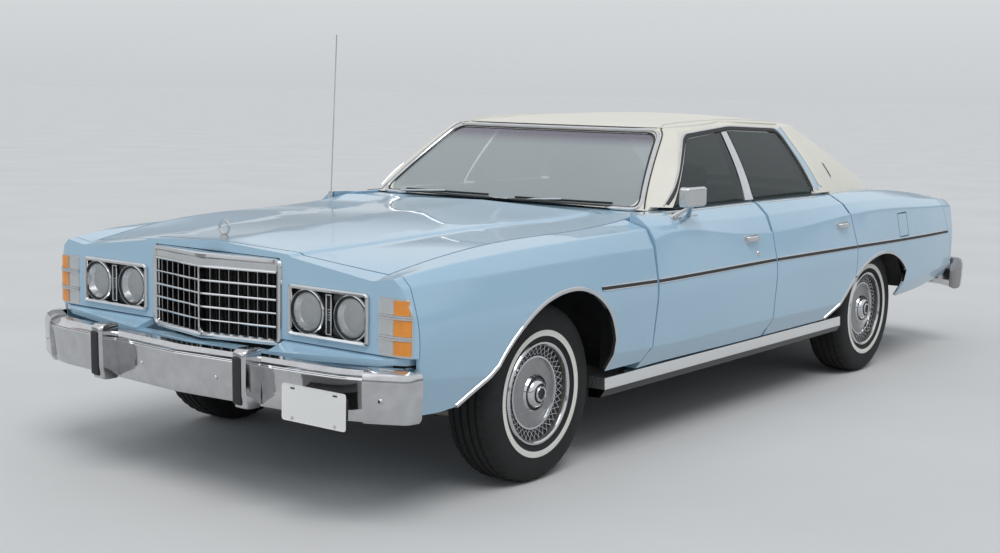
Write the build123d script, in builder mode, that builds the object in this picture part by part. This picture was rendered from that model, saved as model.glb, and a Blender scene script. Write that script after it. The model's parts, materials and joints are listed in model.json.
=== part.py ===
"""Full-size four-door sedan, in millimetres.

X points forward, Y to the car's left, Z up. The origin is on the ground, halfway along the car.
"""

from build123d import *
import math
import os

os.makedirs("parts", exist_ok=True)

# Driving sizes of the whole car
overall_length = 5690.0
overall_width = 2020.0
wheelbase = 3073.0
front_overhang = 1090.0
front_track = 1628.0
rear_track = 1633.0

# Clearances
panel_gap = 8.0
seat_gap = 0.3
shaft_gap = 0.05

# Wall thicknesses
panel_wall = 14.0
lid_wall = 26.0
roof_wall = 40.0
glass_wall = 5.0
glass_inset = 4.0
sheet_wall = 8.0

# Levels above the ground
door_bottom_z = 362.0
mid_z = 690.0
sill_z = 1000.0
window_bottom_z = 1008.0
cowl_z = 985.0
floor_z = 292.0
rocker_top_z = 354.0
rocker_bottom_z = 268.0

# Tyres and wheels
tyre_radius = 350.0
tyre_width = 210.0
tyre_bead_radius = 186.0
spindle_radius = 32.0
hub_z = 348.0

# Places along the car
half_width = overall_width / 2
nose_end_x = overall_length / 2
tail_end_x = -overall_length / 2
front_axle_x = nose_end_x - front_overhang
rear_axle_x = front_axle_x - wheelbase
nose_face_x = front_axle_x + 828.0
tail_face_x = rear_axle_x - 1190.0

# Door hinges: vertical pins near the skin, on arms from the body
hinge_y = 990.0
hinge_levels = (540.0, 700.0)
front_hinge_x = 987.0
rear_hinge_x = -100.0
hinge_pin_radius = 5.0
hinge_arm_half = 8.0
hinge_slot_half = 13.0
hinge_pin_half = 28.0

# Sections of the body ahead of the doors. Each "in" is measured inward from half the width.
# Columns: from the front axle, bottom in, bottom z, low in, low z, mid in, upper in, upper z,
# belt in, belt z, edge in, edge z, bulge half width, bulge z, centre z
front_rows = [
    (-790, 62, 362, 10, 454, -3, 38, 868, 74, 943, 180, 988, 575, 985, 1002),
    (-520, 62, 362, 10, 457, -3, 39, 867, 76, 938, 195, 957, 530, 964, 985),
    (0, 62, 366, 10, 475, -1, 42, 862, 84, 924, 204, 942, 470, 951, 968),
    (445, 70, 376, 20, 494, 10, 52, 852, 95, 905, 210, 912, 425, 927, 947),
    (725, 78, 388, 38, 519, 28, 76, 842, 112, 880, 222, 868, 392, 913, 934),
    (870, 90, 392, 56, 530, 46, 98, 830, 132, 856, 226, 842, 380, 904, 925),
]

# Sections of the body from the doors to the tail.
# Columns: reference axle, from that axle, bottom in, bottom z, low in, low z, mid in,
# upper in, upper z, belt in, belt z, edge in, edge z, centre z
rear_rows = [
    (front_axle_x, -615, 62, 362, 10, 456, -3, 38, 867, 75, 942, 145, 1000, 1006),
    (front_axle_x, -1555, 62, 362, 10, 451, -3, 38, 866, 75, 940, 145, 1000, 1006),
    (rear_axle_x, 818, 62, 362, 10, 444, -3, 36, 872, 73, 943, 145, 1000, 1006),
    (rear_axle_x, 263, 62, 362, 10, 448, -3, 36, 900, 78, 950, 160, 996, 1008),
    (rear_axle_x, -332, 65, 370, 16, 470, 6, 44, 893, 95, 940, 192, 982, 1000),
    (rear_axle_x, -782, 80, 392, 32, 492, 24, 60, 875, 108, 918, 204, 952, 972),
    (rear_axle_x, -1232, 105, 436, 64, 518, 58, 90, 848, 130, 888, 222, 906, 924),
]


def closed_face(points, radii=0.0, inset=0.0):
    """A face inside a closed outline with a radius at each corner, drawn in by the inset."""
    with BuildLine() as edge:
        FilletPolyline(*points, radius=radii, close=True)
    make_face(edge.edges())
    if inset:
        offset(amount=-inset)


def side_prism(points, radii, y_from, y_to, inset=0.0):
    """A solid outlined in the side view, between two distances from the centre plane."""
    with BuildPart() as prism:
        with BuildSketch(Plane.XZ.offset(-y_to)):
            closed_face(points, radii, inset)
        extrude(amount=y_to - y_from)
    return prism.part


def plan_prism(points, radii, z_from, z_to):
    """A solid outlined in the plan view, between two levels."""
    with BuildPart() as prism:
        with BuildSketch(Plane.XY.offset(z_from)):
            closed_face(points, radii)
        extrude(amount=z_to - z_from)
    return prism.part


def cross_prism(points, radii, x_from, x_to, inset=0.0):
    """A solid outlined in the front view, between two places along the car."""
    with BuildPart() as prism:
        with BuildSketch(Plane.YZ.offset(x_from)):
            closed_face(points, radii, inset)
        extrude(amount=x_to - x_from)
    return prism.part


def block(x_from, x_to, y_from, y_to, z_from, z_to):
    """A box between two corners."""
    return plan_prism(
        [(x_from, y_from), (x_to, y_from), (x_to, y_to), (x_from, y_to)], 0.0, z_from, z_to
    )


def write(name, part):
    """Label a finished piece and write it to its file."""
    part.label = name
    export_step(part, f"parts/{name}.step")


def side_corners(bottom_in, bottom_z, low_in, low_z, mid_in, upper_in, upper_z, belt_in, belt_z,
                 edge_in, edge_z, skin):
    """Corners of the body's side from the bottom up, moved inward by the skin."""
    return [
        (half_width - bottom_in - skin, bottom_z - (60 if skin else 0)),
        (half_width - low_in - skin, low_z),
        (half_width - mid_in - skin, mid_z),
        (half_width - upper_in - skin, upper_z - 0.35 * skin),
        (half_width - belt_in - 0.8 * skin, belt_z - 0.7 * skin),
        (half_width - edge_in - 0.4 * skin, edge_z - skin),
    ]


side_radii = [0, 14, 420, 30, 16, 90]


def front_block(skin=0.0, face_skin=0.0):
    """Half of the body ahead of the doors, moved inward by the skin, and at its face."""
    with BuildPart() as body:
        for from_axle, *side, bulge_half, bulge_z, centre_z in front_rows:
            with BuildSketch(Plane.YZ.offset(front_axle_x + from_axle)):
                corners = side_corners(*side, skin)
                corners += [
                    (bulge_half + 16, bulge_z - 9 - skin),
                    (bulge_half, bulge_z - skin),
                    (0, centre_z - skin),
                    (0, corners[0][1]),
                ]
                closed_face(corners, side_radii + [14, 14, 0, 0])
        loft()
        add(nose_trim(face_skin), mode=Mode.INTERSECT)
    return body.part


def nose_trim(skin):
    """What the nose's face and rounded corners leave of the front body."""
    face_x = nose_face_x - skin
    corner_y = half_width - 36 - skin
    return plan_prism(
        [
            (front_axle_x - 900, -10),
            (face_x, -10),
            (face_x, corner_y),
            (front_axle_x + 445, half_width + 60 - skin),
            (front_axle_x - 900, half_width + 60 - skin),
        ],
        [0, 0, 105 - skin, 0, 0],
        200,
        1200,
    )


def rear_block(skin=0.0, lift=0.0):
    """Half of the body from the doors to the tail, moved inward by the skin."""
    with BuildPart() as body:
        for axle_x, from_axle, *side, centre_z in rear_rows:
            with BuildSketch(Plane.YZ.offset(axle_x + from_axle)):
                corners = side_corners(*side, skin)
                corners[-1] = (corners[-1][0], corners[-1][1] + lift)
                corners += [(0, centre_z - skin + lift), (0, corners[0][1])]
                closed_face(corners, side_radii + [0, 0])
        loft()
        add(tail_trim(skin), mode=Mode.INTERSECT)
    return body.part


def tail_trim(skin):
    """What the tail's face and rounded corners leave of the rear body."""
    face_x = tail_face_x + skin
    corner_y = half_width - 62 - skin
    return plan_prism(
        [
            (front_axle_x, -10),
            (face_x, -10),
            (face_x, corner_y),
            (rear_axle_x - 782, half_width + 60 - skin),
            (front_axle_x, half_width + 60 - skin),
        ],
        [0, 0, 70 - skin, 0, 0],
        200,
        1200,
    )


def both_sides(left):
    """A left piece with its mirror image."""
    with BuildPart() as pair:
        add(left)
        mirror(about=Plane.XZ)
    return pair.part


def mirrored(left):
    """The mirror image of a left piece."""
    with BuildPart() as right:
        add(mirror(left, about=Plane.XZ, mode=Mode.PRIVATE))
    return right.part


front_outer = front_block()
front_inner = front_block(panel_wall, panel_wall)
front_lid_inner = front_block(lid_wall, -60)
rear_outer = rear_block()
rear_inner = rear_block(panel_wall)
rear_lid_inner = rear_block(lid_wall)
rear_seat_surface = rear_block(0.0, seat_gap)

# Cut lines between the panels, in the side view, from the bottom up
door_front_cut = [
    (front_axle_x - 629, 200),
    (front_axle_x - 629, 359),
    (front_axle_x - 677, 460),
    (front_axle_x - 708, 870),
    (front_axle_x - 700, 1100),
]
door_middle_cut = [
    (front_axle_x - 1771, 200),
    (front_axle_x - 1774, 400),
    (front_axle_x - 1790, 850),
    (front_axle_x - 1811, 1100),
]
door_rear_cut = [
    (rear_axle_x + 370, 200),
    (rear_axle_x + 370, 560),
    (rear_axle_x + 363, 730),
    (rear_axle_x + 424, 1000),
    (rear_axle_x + 424, 1100),
]
tail_cut = [
    (rear_axle_x - 1170, 200),
    (rear_axle_x - 1131, 582),
    (rear_axle_x - 1050, 771),
    (rear_axle_x - 1009, 914),
    (rear_axle_x - 1005, 1100),
]


def moved(cut, distance):
    """A cut line moved along the car."""
    return [(x + distance, z) for x, z in cut]


def wheel_opening(axle_x, crown_dx, crown_z, front, front_low, rear, rear_low):
    """The opening over a wheel, in the side view, as a tool 400 mm wide."""
    crown = (axle_x + crown_dx, crown_z)
    front_point = (axle_x + front[0], front[1])
    rear_point = (axle_x + rear[0], rear[1])
    front_end = (axle_x + front_low[0], front_low[1])
    rear_end = (axle_x + rear_low[0], rear_low[1])
    with BuildPart() as tool:
        with BuildSketch(Plane.XZ.offset(-half_width - 100)):
            with BuildLine() as edge:
                TangentArc(crown, front_point, tangent=(1, 0))
                Polyline(front_point, front_end, (front_end[0], 150), (rear_end[0], 150))
                Polyline((rear_end[0], 150), rear_end, rear_point)
                TangentArc(crown, rear_point, tangent=(-1, 0))
            make_face(edge.edges())
        extrude(amount=400)
    return tool.part


front_opening = wheel_opening(
    front_axle_x, -94, 750, (372, 518), (560, 386), (-385, 520), (-362, 330)
)
rear_opening = wheel_opening(
    rear_axle_x, 13, 665, (415, 525), (640, 345), (-350, 540), (-266, 355)
)

# Fenders
hood_side = [(front_axle_x + row[0], half_width - row[10]) for row in front_rows]
hood_front_x = front_axle_x + 819
hood_front_corner_x = front_axle_x + 745
hood_rear_x = front_axle_x - 870


def hood_plan(offset):
    """Outline of half the hood in plan, moved inward by the offset."""
    sides = [(x, y - offset) for x, y in hood_side if x < hood_front_corner_x]
    return (
        [(hood_rear_x + offset, -10), (hood_rear_x + offset, 520)]
        + [(front_axle_x - 800 + offset, 740)]
        + [(front_axle_x - 758 + offset, half_width - 182 - offset)]
        + sides[1:]
        + [(hood_front_corner_x - offset, half_width - 222 - offset)]
        + [(hood_front_corner_x + 28 - offset, 382), (hood_front_x - offset, -10)]
    )


nose_cut_x = front_axle_x + 790
fender_front = nose_cut_x - panel_gap / 4

# Aprons inside the fenders, with feet on the frame
rail_front_top_z = 475.0
apron_x = (front_axle_x - 420, front_axle_x + 600)
apron_y = 495
apron_wall = 10
apron_low_z = 482
apron_feet = (front_axle_x - 350, front_axle_x + 400)
apron_foot_long = 100
apron_foot_reach = 65
shelf_z = 838
with BuildPart() as apron:
    add(block(*apron_x, apron_y, half_width, shelf_z, shelf_z + apron_wall))
    add(front_outer, mode=Mode.INTERSECT)
    add(block(*apron_x, apron_y, apron_y + apron_wall, apron_low_z, shelf_z + 1))
    for foot_x in apron_feet:
        add(block(foot_x, foot_x + apron_foot_long, apron_y - apron_foot_reach,
                  apron_y + apron_wall, rail_front_top_z + seat_gap, apron_low_z + apron_wall))
with BuildPart() as fenders_left:
    add(front_outer)
    add(front_inner, mode=Mode.SUBTRACT)
    add(
        side_prism(
            moved(door_front_cut, panel_gap / 2)
            + [(fender_front, 1100), (fender_front, 380), (front_axle_x + 560, 372)]
            + [(front_axle_x - 400, 355), (front_axle_x - 500, 355)],
            0,
            300,
            half_width + 50,
        ),
        mode=Mode.INTERSECT,
    )
    add(plan_prism(hood_plan(-panel_gap / 2), 0, 700, 1200), mode=Mode.SUBTRACT)
    add(block(front_axle_x - 900, nose_cut_x + 20, -10, 700, 200, 1200), mode=Mode.SUBTRACT)
    add(
        plan_prism(
            [
                (hood_front_corner_x - 4, 0),
                (nose_cut_x + 100, 0),
                (nose_cut_x + 100, half_width - 216),
                (hood_front_corner_x - 4, half_width - 216),
            ],
            0,
            200,
            1200,
        ),
        mode=Mode.SUBTRACT,
    )
    add(front_opening, mode=Mode.SUBTRACT)
    add(apron.part)
write("front_fenders", both_sides(fenders_left.part))

# Hood
with BuildPart() as hood_left:
    add(front_outer)
    add(front_lid_inner, mode=Mode.SUBTRACT)
    add(plan_prism(hood_plan(panel_gap / 2), 0, 780, 1200), mode=Mode.INTERSECT)
hood = both_sides(hood_left.part)
write("hood", hood)

# Front doors, rear doors and quarters come from the rear body
door_lining = cross_prism(
    [
        (-10, 200),
        (half_width - 130, 200),
        (half_width - 115, 452),
        (half_width - 120, 690),
        (half_width - 160, 868),
        (half_width - 195, 940),
        (half_width - 220, 1000),
        (half_width - 220, 1200),
        (-10, 1200),
    ],
    [0, 0, 60, 60, 40, 0, 0, 0, 0],
    rear_axle_x - 100,
    front_axle_x - 500,
)
cowl_clearance = block(
    front_axle_x - 795, front_axle_x - 500, -10, half_width - 160, 780, 1200
)


door_rebate = 12.0
door_flange = 40.0


def door(front_cut, rear_cut, hinge_x):
    """A left door between two cut lines, as thick as the whole door, with slots for its hinges."""
    front_edge = moved(front_cut, -panel_gap / 2 - 1)
    outline = front_edge[1:-1] + [(front_edge[-1][0], sill_z - seat_gap)]
    outline += [(rear_cut[-1][0] + panel_gap / 2, sill_z - seat_gap)]
    outline += moved(rear_cut, panel_gap / 2)[-2:0:-1]
    outline[0] = (outline[0][0], door_bottom_z)
    outline[-1] = (outline[-1][0], door_bottom_z)
    with BuildPart() as panel:
        add(rear_outer)
        add(door_lining, mode=Mode.SUBTRACT)
        add(cowl_clearance, mode=Mode.SUBTRACT)
        add(side_prism(outline, 0, 300, half_width + 50), mode=Mode.INTERSECT)
        add(rear_opening, mode=Mode.SUBTRACT)
        rebate = moved(rear_cut, -100) + moved(rear_cut, panel_gap / 2 + door_rebate)[::-1]
        add(side_prism(rebate, 0, 300, half_width - door_flange), mode=Mode.SUBTRACT)
        for level in hinge_levels:
            add(
                block(hinge_x - hinge_arm_half - 6, hinge_x + 200, 600, hinge_y + 10,
                      level - hinge_slot_half, level + hinge_slot_half),
                mode=Mode.SUBTRACT,
            )
            with Locations((hinge_x, hinge_y, level)):
                Cylinder(hinge_pin_radius + shaft_gap, 2 * hinge_pin_half + 4, mode=Mode.SUBTRACT)
    return panel.part


def hinge_arms(hinge_x, arm_y):
    """Arms to a left door's two hinge pins, with the pins."""
    with BuildPart() as arms:
        for level in hinge_levels:
            add(
                block(hinge_x - hinge_arm_half, hinge_x + hinge_arm_half, arm_y, hinge_y,
                      level - hinge_arm_half, level + hinge_arm_half)
            )
            with Locations((hinge_x, hinge_y, level)):
                Cylinder(hinge_arm_half, 2 * hinge_arm_half)
                Cylinder(hinge_pin_radius, 2 * hinge_pin_half)
    return arms.part


door_front_left = door(door_front_cut, door_middle_cut, front_hinge_x)
door_rear_left = door(door_middle_cut, door_rear_cut, rear_hinge_x)
write("door_front_left", door_front_left)
write("door_front_right", mirrored(door_front_left))
write("door_rear_left", door_rear_left)
write("door_rear_right", mirrored(door_rear_left))

# Decklid
deck_front_x = rear_axle_x - 440
deck_half = half_width - 222
deck_low_z = 780
deck_plan = [
    (deck_front_x, -10),
    (deck_front_x, deck_half),
    (tail_end_x, deck_half),
    (tail_end_x, -10),
]


def grown(points, distance):
    """A rectangle's plan grown by a distance, its centre side left where it is."""
    xs = [x for x, y in points]
    ys = [y for x, y in points]
    return [
        (max(xs) + distance, min(ys)),
        (max(xs) + distance, max(ys) + distance),
        (min(xs) - distance, max(ys) + distance),
        (min(xs) - distance, min(ys)),
    ]


with BuildPart() as deck_left:
    add(rear_outer)
    add(rear_lid_inner, mode=Mode.SUBTRACT)
    add(plan_prism(grown(deck_plan, -panel_gap / 2), 0, deck_low_z + panel_gap, 1200),
        mode=Mode.INTERSECT)
decklid = both_sides(deck_left.part)
write("decklid", decklid)

# Quarters. The left one has a pocket behind the fuel door
deck_ledge_y = (deck_half - 20, deck_half + 26)
deck_ledge_x = (rear_axle_x - 640, rear_axle_x - 480)
deck_ledge_z = (850, 1050)
fuel_x = (rear_axle_x - 368, rear_axle_x - 226)
fuel_z = (732, 868)
pocket_wall = 12
pocket_depth = 80
fuel_y = (half_width - pocket_depth, half_width + 40)


def quarter(hollow):
    """A left quarter panel between the body's skin and what is hollow in it."""
    with BuildPart() as panel:
        add(rear_outer)
        add(hollow, mode=Mode.SUBTRACT)
        add(
            side_prism(
                moved(door_rear_cut, -panel_gap / 2) + moved(tail_cut, panel_gap / 4)[::-1],
                0,
                -10,
                half_width + 50,
            ),
            mode=Mode.INTERSECT,
        )
        add(plan_prism(grown(deck_plan, panel_gap / 2), 0, deck_low_z - 300, 1200),
            mode=Mode.SUBTRACT)
        add(block(tail_end_x, front_axle_x, -10, half_width - 300, 200, 940), mode=Mode.SUBTRACT)
        add(rear_opening, mode=Mode.SUBTRACT)
        add(deck_ledge)
    return panel.part


with BuildPart() as ledge:
    add(block(*deck_ledge_x, *deck_ledge_y, *deck_ledge_z))
    add(rear_block(lid_wall + seat_gap), mode=Mode.INTERSECT)
    add(rear_block(lid_wall + 16), mode=Mode.SUBTRACT)
with BuildPart() as ledge_web:
    add(block(*deck_ledge_x, deck_half + 10, deck_ledge_y[1], *deck_ledge_z))
    add(rear_block(6), mode=Mode.INTERSECT)
    add(rear_block(lid_wall + 12), mode=Mode.SUBTRACT)
with BuildPart() as deck_rest:
    add(ledge.part)
    add(ledge_web.part)
deck_ledge = deck_rest.part
with BuildPart() as quarter_right:
    add(mirrored(quarter(rear_inner)))
with BuildPart() as pocket_hollow:
    add(rear_inner)
    add(block(fuel_x[0] - pocket_wall, fuel_x[1] + pocket_wall, *fuel_y,
              fuel_z[0] - pocket_wall, fuel_z[1] + pocket_wall), mode=Mode.SUBTRACT)
with BuildPart() as fuel_recess:
    add(block(*fuel_x, *fuel_y, *fuel_z))
    add(rear_block(panel_wall + 2 * seat_gap), mode=Mode.SUBTRACT)
with BuildPart() as quarters:
    add(quarter(pocket_hollow.part))
    add(fuel_recess.part, mode=Mode.SUBTRACT)
    add(quarter_right.part)
write("quarter_panels", quarters.part)
with BuildPart() as fuel_door:
    add(rear_outer)
    add(rear_inner, mode=Mode.SUBTRACT)
    add(
        block(fuel_x[0] + panel_gap, fuel_x[1] - panel_gap, *fuel_y, fuel_z[0] + panel_gap,
              fuel_z[1] - panel_gap),
        mode=Mode.INTERSECT,
    )
write("fuel_door", fuel_door.part)

# Nose panel with its core support
lamp_y = (395, 768)
lamp_z = (627, 797)
corner_lamp_y = 818
corner_lamp_z = (600, 800)
corner_lamp_x = front_axle_x + 806
grille_half = 338
nose_low_z = 598
nose_plan = [
    (hood_front_x + panel_gap / 2, -10),
    (hood_front_corner_x + 28 + panel_gap / 2, 382),
    (hood_front_corner_x + panel_gap / 2, half_width - 222),
    (nose_cut_x + panel_gap / 4, half_width - 218),
    (nose_cut_x + panel_gap / 4, half_width + 50),
    (nose_end_x, half_width + 50),
    (nose_end_x, -10),
]
support_x = front_axle_x + 715
hood_rest_y = (560, 620)
with BuildPart() as hood_rest:
    add(block(support_x, support_x + 40, *hood_rest_y, 770, 1000))
    add(front_block(lid_wall + seat_gap, -60), mode=Mode.INTERSECT)
with BuildPart() as nose_left:
    add(front_outer)
    add(front_inner, mode=Mode.SUBTRACT)
    add(plan_prism(nose_plan, 0, nose_low_z, 1200), mode=Mode.INTERSECT)
    add(block(support_x, nose_face_x - 2, 774, 784, nose_low_z, 790))
    add(block(support_x, support_x + 12, -10, 784, rail_front_top_z + seat_gap, 790))
    add(hood_rest.part)
    add(block(support_x - 5, support_x + 20, -10, 360, 470, 760), mode=Mode.SUBTRACT)
    add(block(nose_face_x - 60, nose_end_x, -10, grille_half, 200, 890), mode=Mode.SUBTRACT)
    add(block(nose_face_x - 60, nose_end_x, *lamp_y, *lamp_z), mode=Mode.SUBTRACT)
    add(block(corner_lamp_x, nose_end_x, corner_lamp_y, half_width, *corner_lamp_z),
        mode=Mode.SUBTRACT)
    split(bisect_by=Plane.XZ, keep=Keep.BOTTOM)
write("nose_panel", both_sides(nose_left.part))

# Corner lamps
with BuildPart() as corner_lamp:
    add(front_outer)
    add(front_block(22, 22), mode=Mode.SUBTRACT)
    add(
        block(
            corner_lamp_x + seat_gap,
            nose_end_x,
            corner_lamp_y + seat_gap,
            half_width,
            corner_lamp_z[0] + seat_gap,
            corner_lamp_z[1] - seat_gap,
        ),
        mode=Mode.INTERSECT,
    )
write("corner_lamps", both_sides(corner_lamp.part))

# Headlamps: a bezel with two round lamps on each side
lamp_radius = 70
lamp_centres = (480, 693)
lamp_level = 712
with BuildPart() as bezel:
    add(
        block(
            nose_face_x + seat_gap,
            nose_face_x + 12,
            lamp_y[0] - 6,
            lamp_y[1] + 6,
            lamp_z[0] - 6,
            lamp_z[1] + 6,
        )
    )
    add(block(nose_face_x - 40, nose_face_x + 1, lamp_y[0] + 2, lamp_y[1] - 2, lamp_z[0] + 2,
              lamp_z[1] - 2))
    with Locations(*[(nose_face_x + 3, y, lamp_level) for y in lamp_centres]):
        Cylinder(lamp_radius + 8, 30, rotation=(0, 90, 0), mode=Mode.SUBTRACT)
with BuildPart() as lamp:
    Cylinder(lamp_radius, 46, rotation=(0, 90, 0))
    fillet(lamp.edges().group_by(Axis.X)[-1], 18)
with BuildPart() as headlamp:
    add(bezel.part)
    with Locations(*[(nose_face_x - 18, y, lamp_level) for y in lamp_centres]):
        add(lamp.part)
write("headlamps", both_sides(headlamp.part))

# Grille: a shallow prow with rows of open cells
grille_centre_x = front_axle_x + 912
grille_side_x = front_axle_x + 838
grille_low_z = 568
grille_high_z = 888
grille_width = 352
grille_rows = 5
grille_columns = 8
grille_header = 30
grille_rim = 16
grille_bar = 5
grille_depth = 24
cell_wide = (grille_width - grille_rim) / grille_columns
cell_high = (grille_high_z - grille_low_z - grille_header - grille_rim) / grille_rows
with BuildPart() as grille_left:
    add(
        plan_prism(
            [
                (nose_face_x + seat_gap, 0),
                (nose_face_x + seat_gap, grille_width),
                (grille_side_x, grille_width),
                (grille_centre_x, 0),
            ],
            0,
            grille_low_z,
            grille_high_z,
        )
    )
    add(
        plan_prism(
            [
                (nose_face_x - 20, -1),
                (nose_face_x - 20, grille_half),
                (grille_side_x - grille_depth + 3, grille_half),
                (grille_centre_x - grille_depth, -1),
            ],
            0,
            grille_low_z + 10,
            grille_high_z - 10,
        ),
        mode=Mode.SUBTRACT,
    )
    with BuildSketch(Plane.YZ.offset(nose_face_x)):
        with Locations(
            *[
                (cell_wide * (column + 0.5), grille_low_z + grille_rim + cell_high * (row + 0.5))
                for column in range(grille_columns)
                for row in range(grille_rows)
            ]
        ):
            Rectangle(cell_wide - grille_bar, cell_high - grille_bar)
    extrude(amount=200, mode=Mode.SUBTRACT)
write("grille", both_sides(grille_left.part))

# Valance between the nose and the bumper
valance_back_x = support_x + 12 + seat_gap
valance_side = [
    (valance_back_x, 594),
    (nose_face_x, 594),
    (front_axle_x + 945, 556),
    (front_axle_x + 945, 536),
    (nose_face_x, 570),
    (valance_back_x, 570),
]
with BuildPart() as valance:
    add(side_prism(valance_side, 0, -10, half_width))
    add(
        plan_prism(
            [
                (valance_back_x, -10),
                (front_axle_x + 942, -10),
                (front_axle_x + 908, 420),
                (front_axle_x + 850, 840),
                (front_axle_x + 806, 930),
                (valance_back_x, 940),
            ],
            [0, 0, 0, 60, 30, 0],
            400,
            800,
        ),
        mode=Mode.INTERSECT,
    )
    add(block(nose_face_x - 80, front_axle_x + 930, -10, 362, 560, 700), mode=Mode.SUBTRACT)
    split(bisect_by=Plane.XZ, keep=Keep.BOTTOM)
write("valance_panel", both_sides(valance.part))

# Bumpers: a hollow bar lofted through plans at three levels, with guards and brackets
bumper_wall = 60
frame_front_x = nose_end_x - 210
frame_rear_x = tail_end_x + 190
rail_end_y = 420
rear_rail_y = 520


def bumper_bar(levels, centre_x, corner_x, end_x, direction):
    """Half a bumper bar. Levels hold the height and how far the face is set back there."""
    with BuildPart() as bar:
        for z, back in levels:
            with BuildSketch(Plane.XY.offset(z)):
                face = [
                    (centre_x - direction * back, -10),
                    (corner_x - direction * back, 800),
                    (end_x + direction * 60, half_width - 20 - back / 2),
                    (end_x, half_width - 10 - back / 2),
                ]
                rear = [
                    (end_x, half_width - 55 - back / 2),
                    (corner_x - direction * (back + bumper_wall), 770),
                    (centre_x - direction * (back + bumper_wall), -10),
                ]
                closed_face(face + rear, [0, 60, 40, 0, 0, 60, 0])
        loft()
        split(bisect_by=Plane.XZ, keep=Keep.BOTTOM)
    return bar.part


front_bar_levels = [(377, 50), (450, 12), (530, 0), (562, 30)]
rear_bar_levels = [(345, 50), (420, 12), (500, 0), (535, 30)]
front_bar_x = front_axle_x + 1040
rear_bar_x = tail_end_x + 30
guard_y = 390
with BuildPart() as front_bumper:
    add(bumper_bar(front_bar_levels, front_bar_x, front_bar_x - 62, front_axle_x + 812, 1))
    add(block(front_bar_x - 50, nose_end_x, guard_y - 32, guard_y + 32, 380, 600))
    add(block(frame_front_x + seat_gap, front_bar_x - 50, rail_end_y - 30, rail_end_y + 30, 430,
              500))
write("front_bumper", both_sides(front_bumper.part))
with BuildPart() as rear_bumper:
    add(bumper_bar(rear_bar_levels, rear_bar_x, rear_bar_x + 62, rear_axle_x - 1215, -1))
    add(block(tail_end_x, rear_bar_x + 50, guard_y - 32, guard_y + 32, 355, 570))
    add(block(rear_bar_x + 50, frame_rear_x - seat_gap, rear_rail_y - 30, rear_rail_y + 30, 400,
              470))
write("rear_bumper", both_sides(rear_bumper.part))

# Tail panel and lamps
tail_lamp_y = (450, 800)
tail_lamp_z = (600, 750)
with BuildPart() as tail_left:
    add(rear_outer)
    add(rear_inner, mode=Mode.SUBTRACT)
    add(
        side_prism(
            moved(tail_cut, -panel_gap / 4) + [(tail_end_x, 1100), (tail_end_x, 200)],
            0,
            -10,
            half_width + 50,
        ),
        mode=Mode.INTERSECT,
    )
    add(plan_prism(grown(deck_plan, panel_gap / 2), 0, deck_low_z, 1200), mode=Mode.SUBTRACT)
    add(block(tail_end_x, rear_axle_x, -10, half_width + 50, 200, 545), mode=Mode.SUBTRACT)
    add(block(tail_face_x + 6, rear_axle_x - 1134 - seat_gap, -10, 600, 575, 590))
    add(block(tail_end_x, tail_face_x + 40, *tail_lamp_y, *tail_lamp_z), mode=Mode.SUBTRACT)
    split(bisect_by=Plane.XZ, keep=Keep.BOTTOM)
write("tail_panel", both_sides(tail_left.part))
with BuildPart() as tail_lamp:
    add(block(tail_face_x - 14, tail_face_x - seat_gap, tail_lamp_y[0] - 6, tail_lamp_y[1] + 6,
              tail_lamp_z[0] - 6, tail_lamp_z[1] + 6))
    add(block(tail_face_x - 1, tail_face_x + 30, tail_lamp_y[0] + 1, tail_lamp_y[1] - 1,
              tail_lamp_z[0] + 1, tail_lamp_z[1] - 1))
write("tail_lamps", both_sides(tail_lamp.part))

# Greenhouse in plan at four levels.
# Columns: z, windshield centre, its corner, its corner y, side front, its y, side rear, its y,
# backlight corner, its y, backlight centre, corner radius; the first five from the front axle,
# the rest from the rear axle
greenhouse_rows = [
    (985, -905, -937, 768, -1020, 868, 457, 868, -349, 748, -417, 160),
    (1175, -1118, -1152, 694, -1212, 772, 487, 770, 10, 672, -45, 120),
    (1350, -1350, -1385, 602, -1412, 652, 518, 645, 357, 580, 318, 80),
    (1400, -1416, -1452, 572, -1474, 616, 528, 608, 450, 550, 412, 30),
]

# Crown of the roof. Columns: from the front axle, z above the side windows, z on the centre line
crown_rows = [
    (-880, 1285, 1312),
    (-1400, 1334, 1359),
    (-1900, 1362, 1393),
    (-2445, 1354, 1396),
    (-2790, 1336, 1378),
    (-3520, 1280, 1316),
]
crown_side_y = 655
roof_edge_radius = 34
crown_edge_y = 900


def greenhouse(inset=0.0):
    """The cabin above the belt as one solid, moved inward by the inset."""
    with BuildPart() as cabin:
        for (z, front_x, corner_x, corner_y, side_x, side_y, rear_side_x, rear_side_y,
             rear_corner_x, rear_corner_y, rear_x, rear_radius) in greenhouse_rows:
            along = 1.5 * inset
            across = 1.15 * inset
            corner = (front_axle_x + corner_x - along, corner_y - across)
            rear_corner = (rear_axle_x + rear_corner_x + along, rear_corner_y - across)
            side = [
                corner,
                (front_axle_x + side_x - along / 2, side_y - across),
                (rear_axle_x + rear_side_x + along / 4, rear_side_y - across),
                rear_corner,
            ]
            with BuildSketch(Plane.XY.offset(z)):
                with BuildLine():
                    FilletPolyline(*side, radius=[30, rear_radius])
                    FilletPolyline(*[(x, -y) for x, y in side], radius=[30, rear_radius])
                    ThreePointArc(
                        corner, (front_axle_x + front_x - along, 0), (corner[0], -corner[1])
                    )
                    ThreePointArc(
                        rear_corner,
                        (rear_axle_x + rear_x + along, 0),
                        (rear_corner[0], -rear_corner[1]),
                    )
                make_face()
        loft()
        add(crown_block(inset), mode=Mode.INTERSECT)
        if inset == 0:
            fillet(cabin.faces().sort_by(Axis.Z)[-1].edges(), roof_edge_radius)
    return cabin.part


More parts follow.
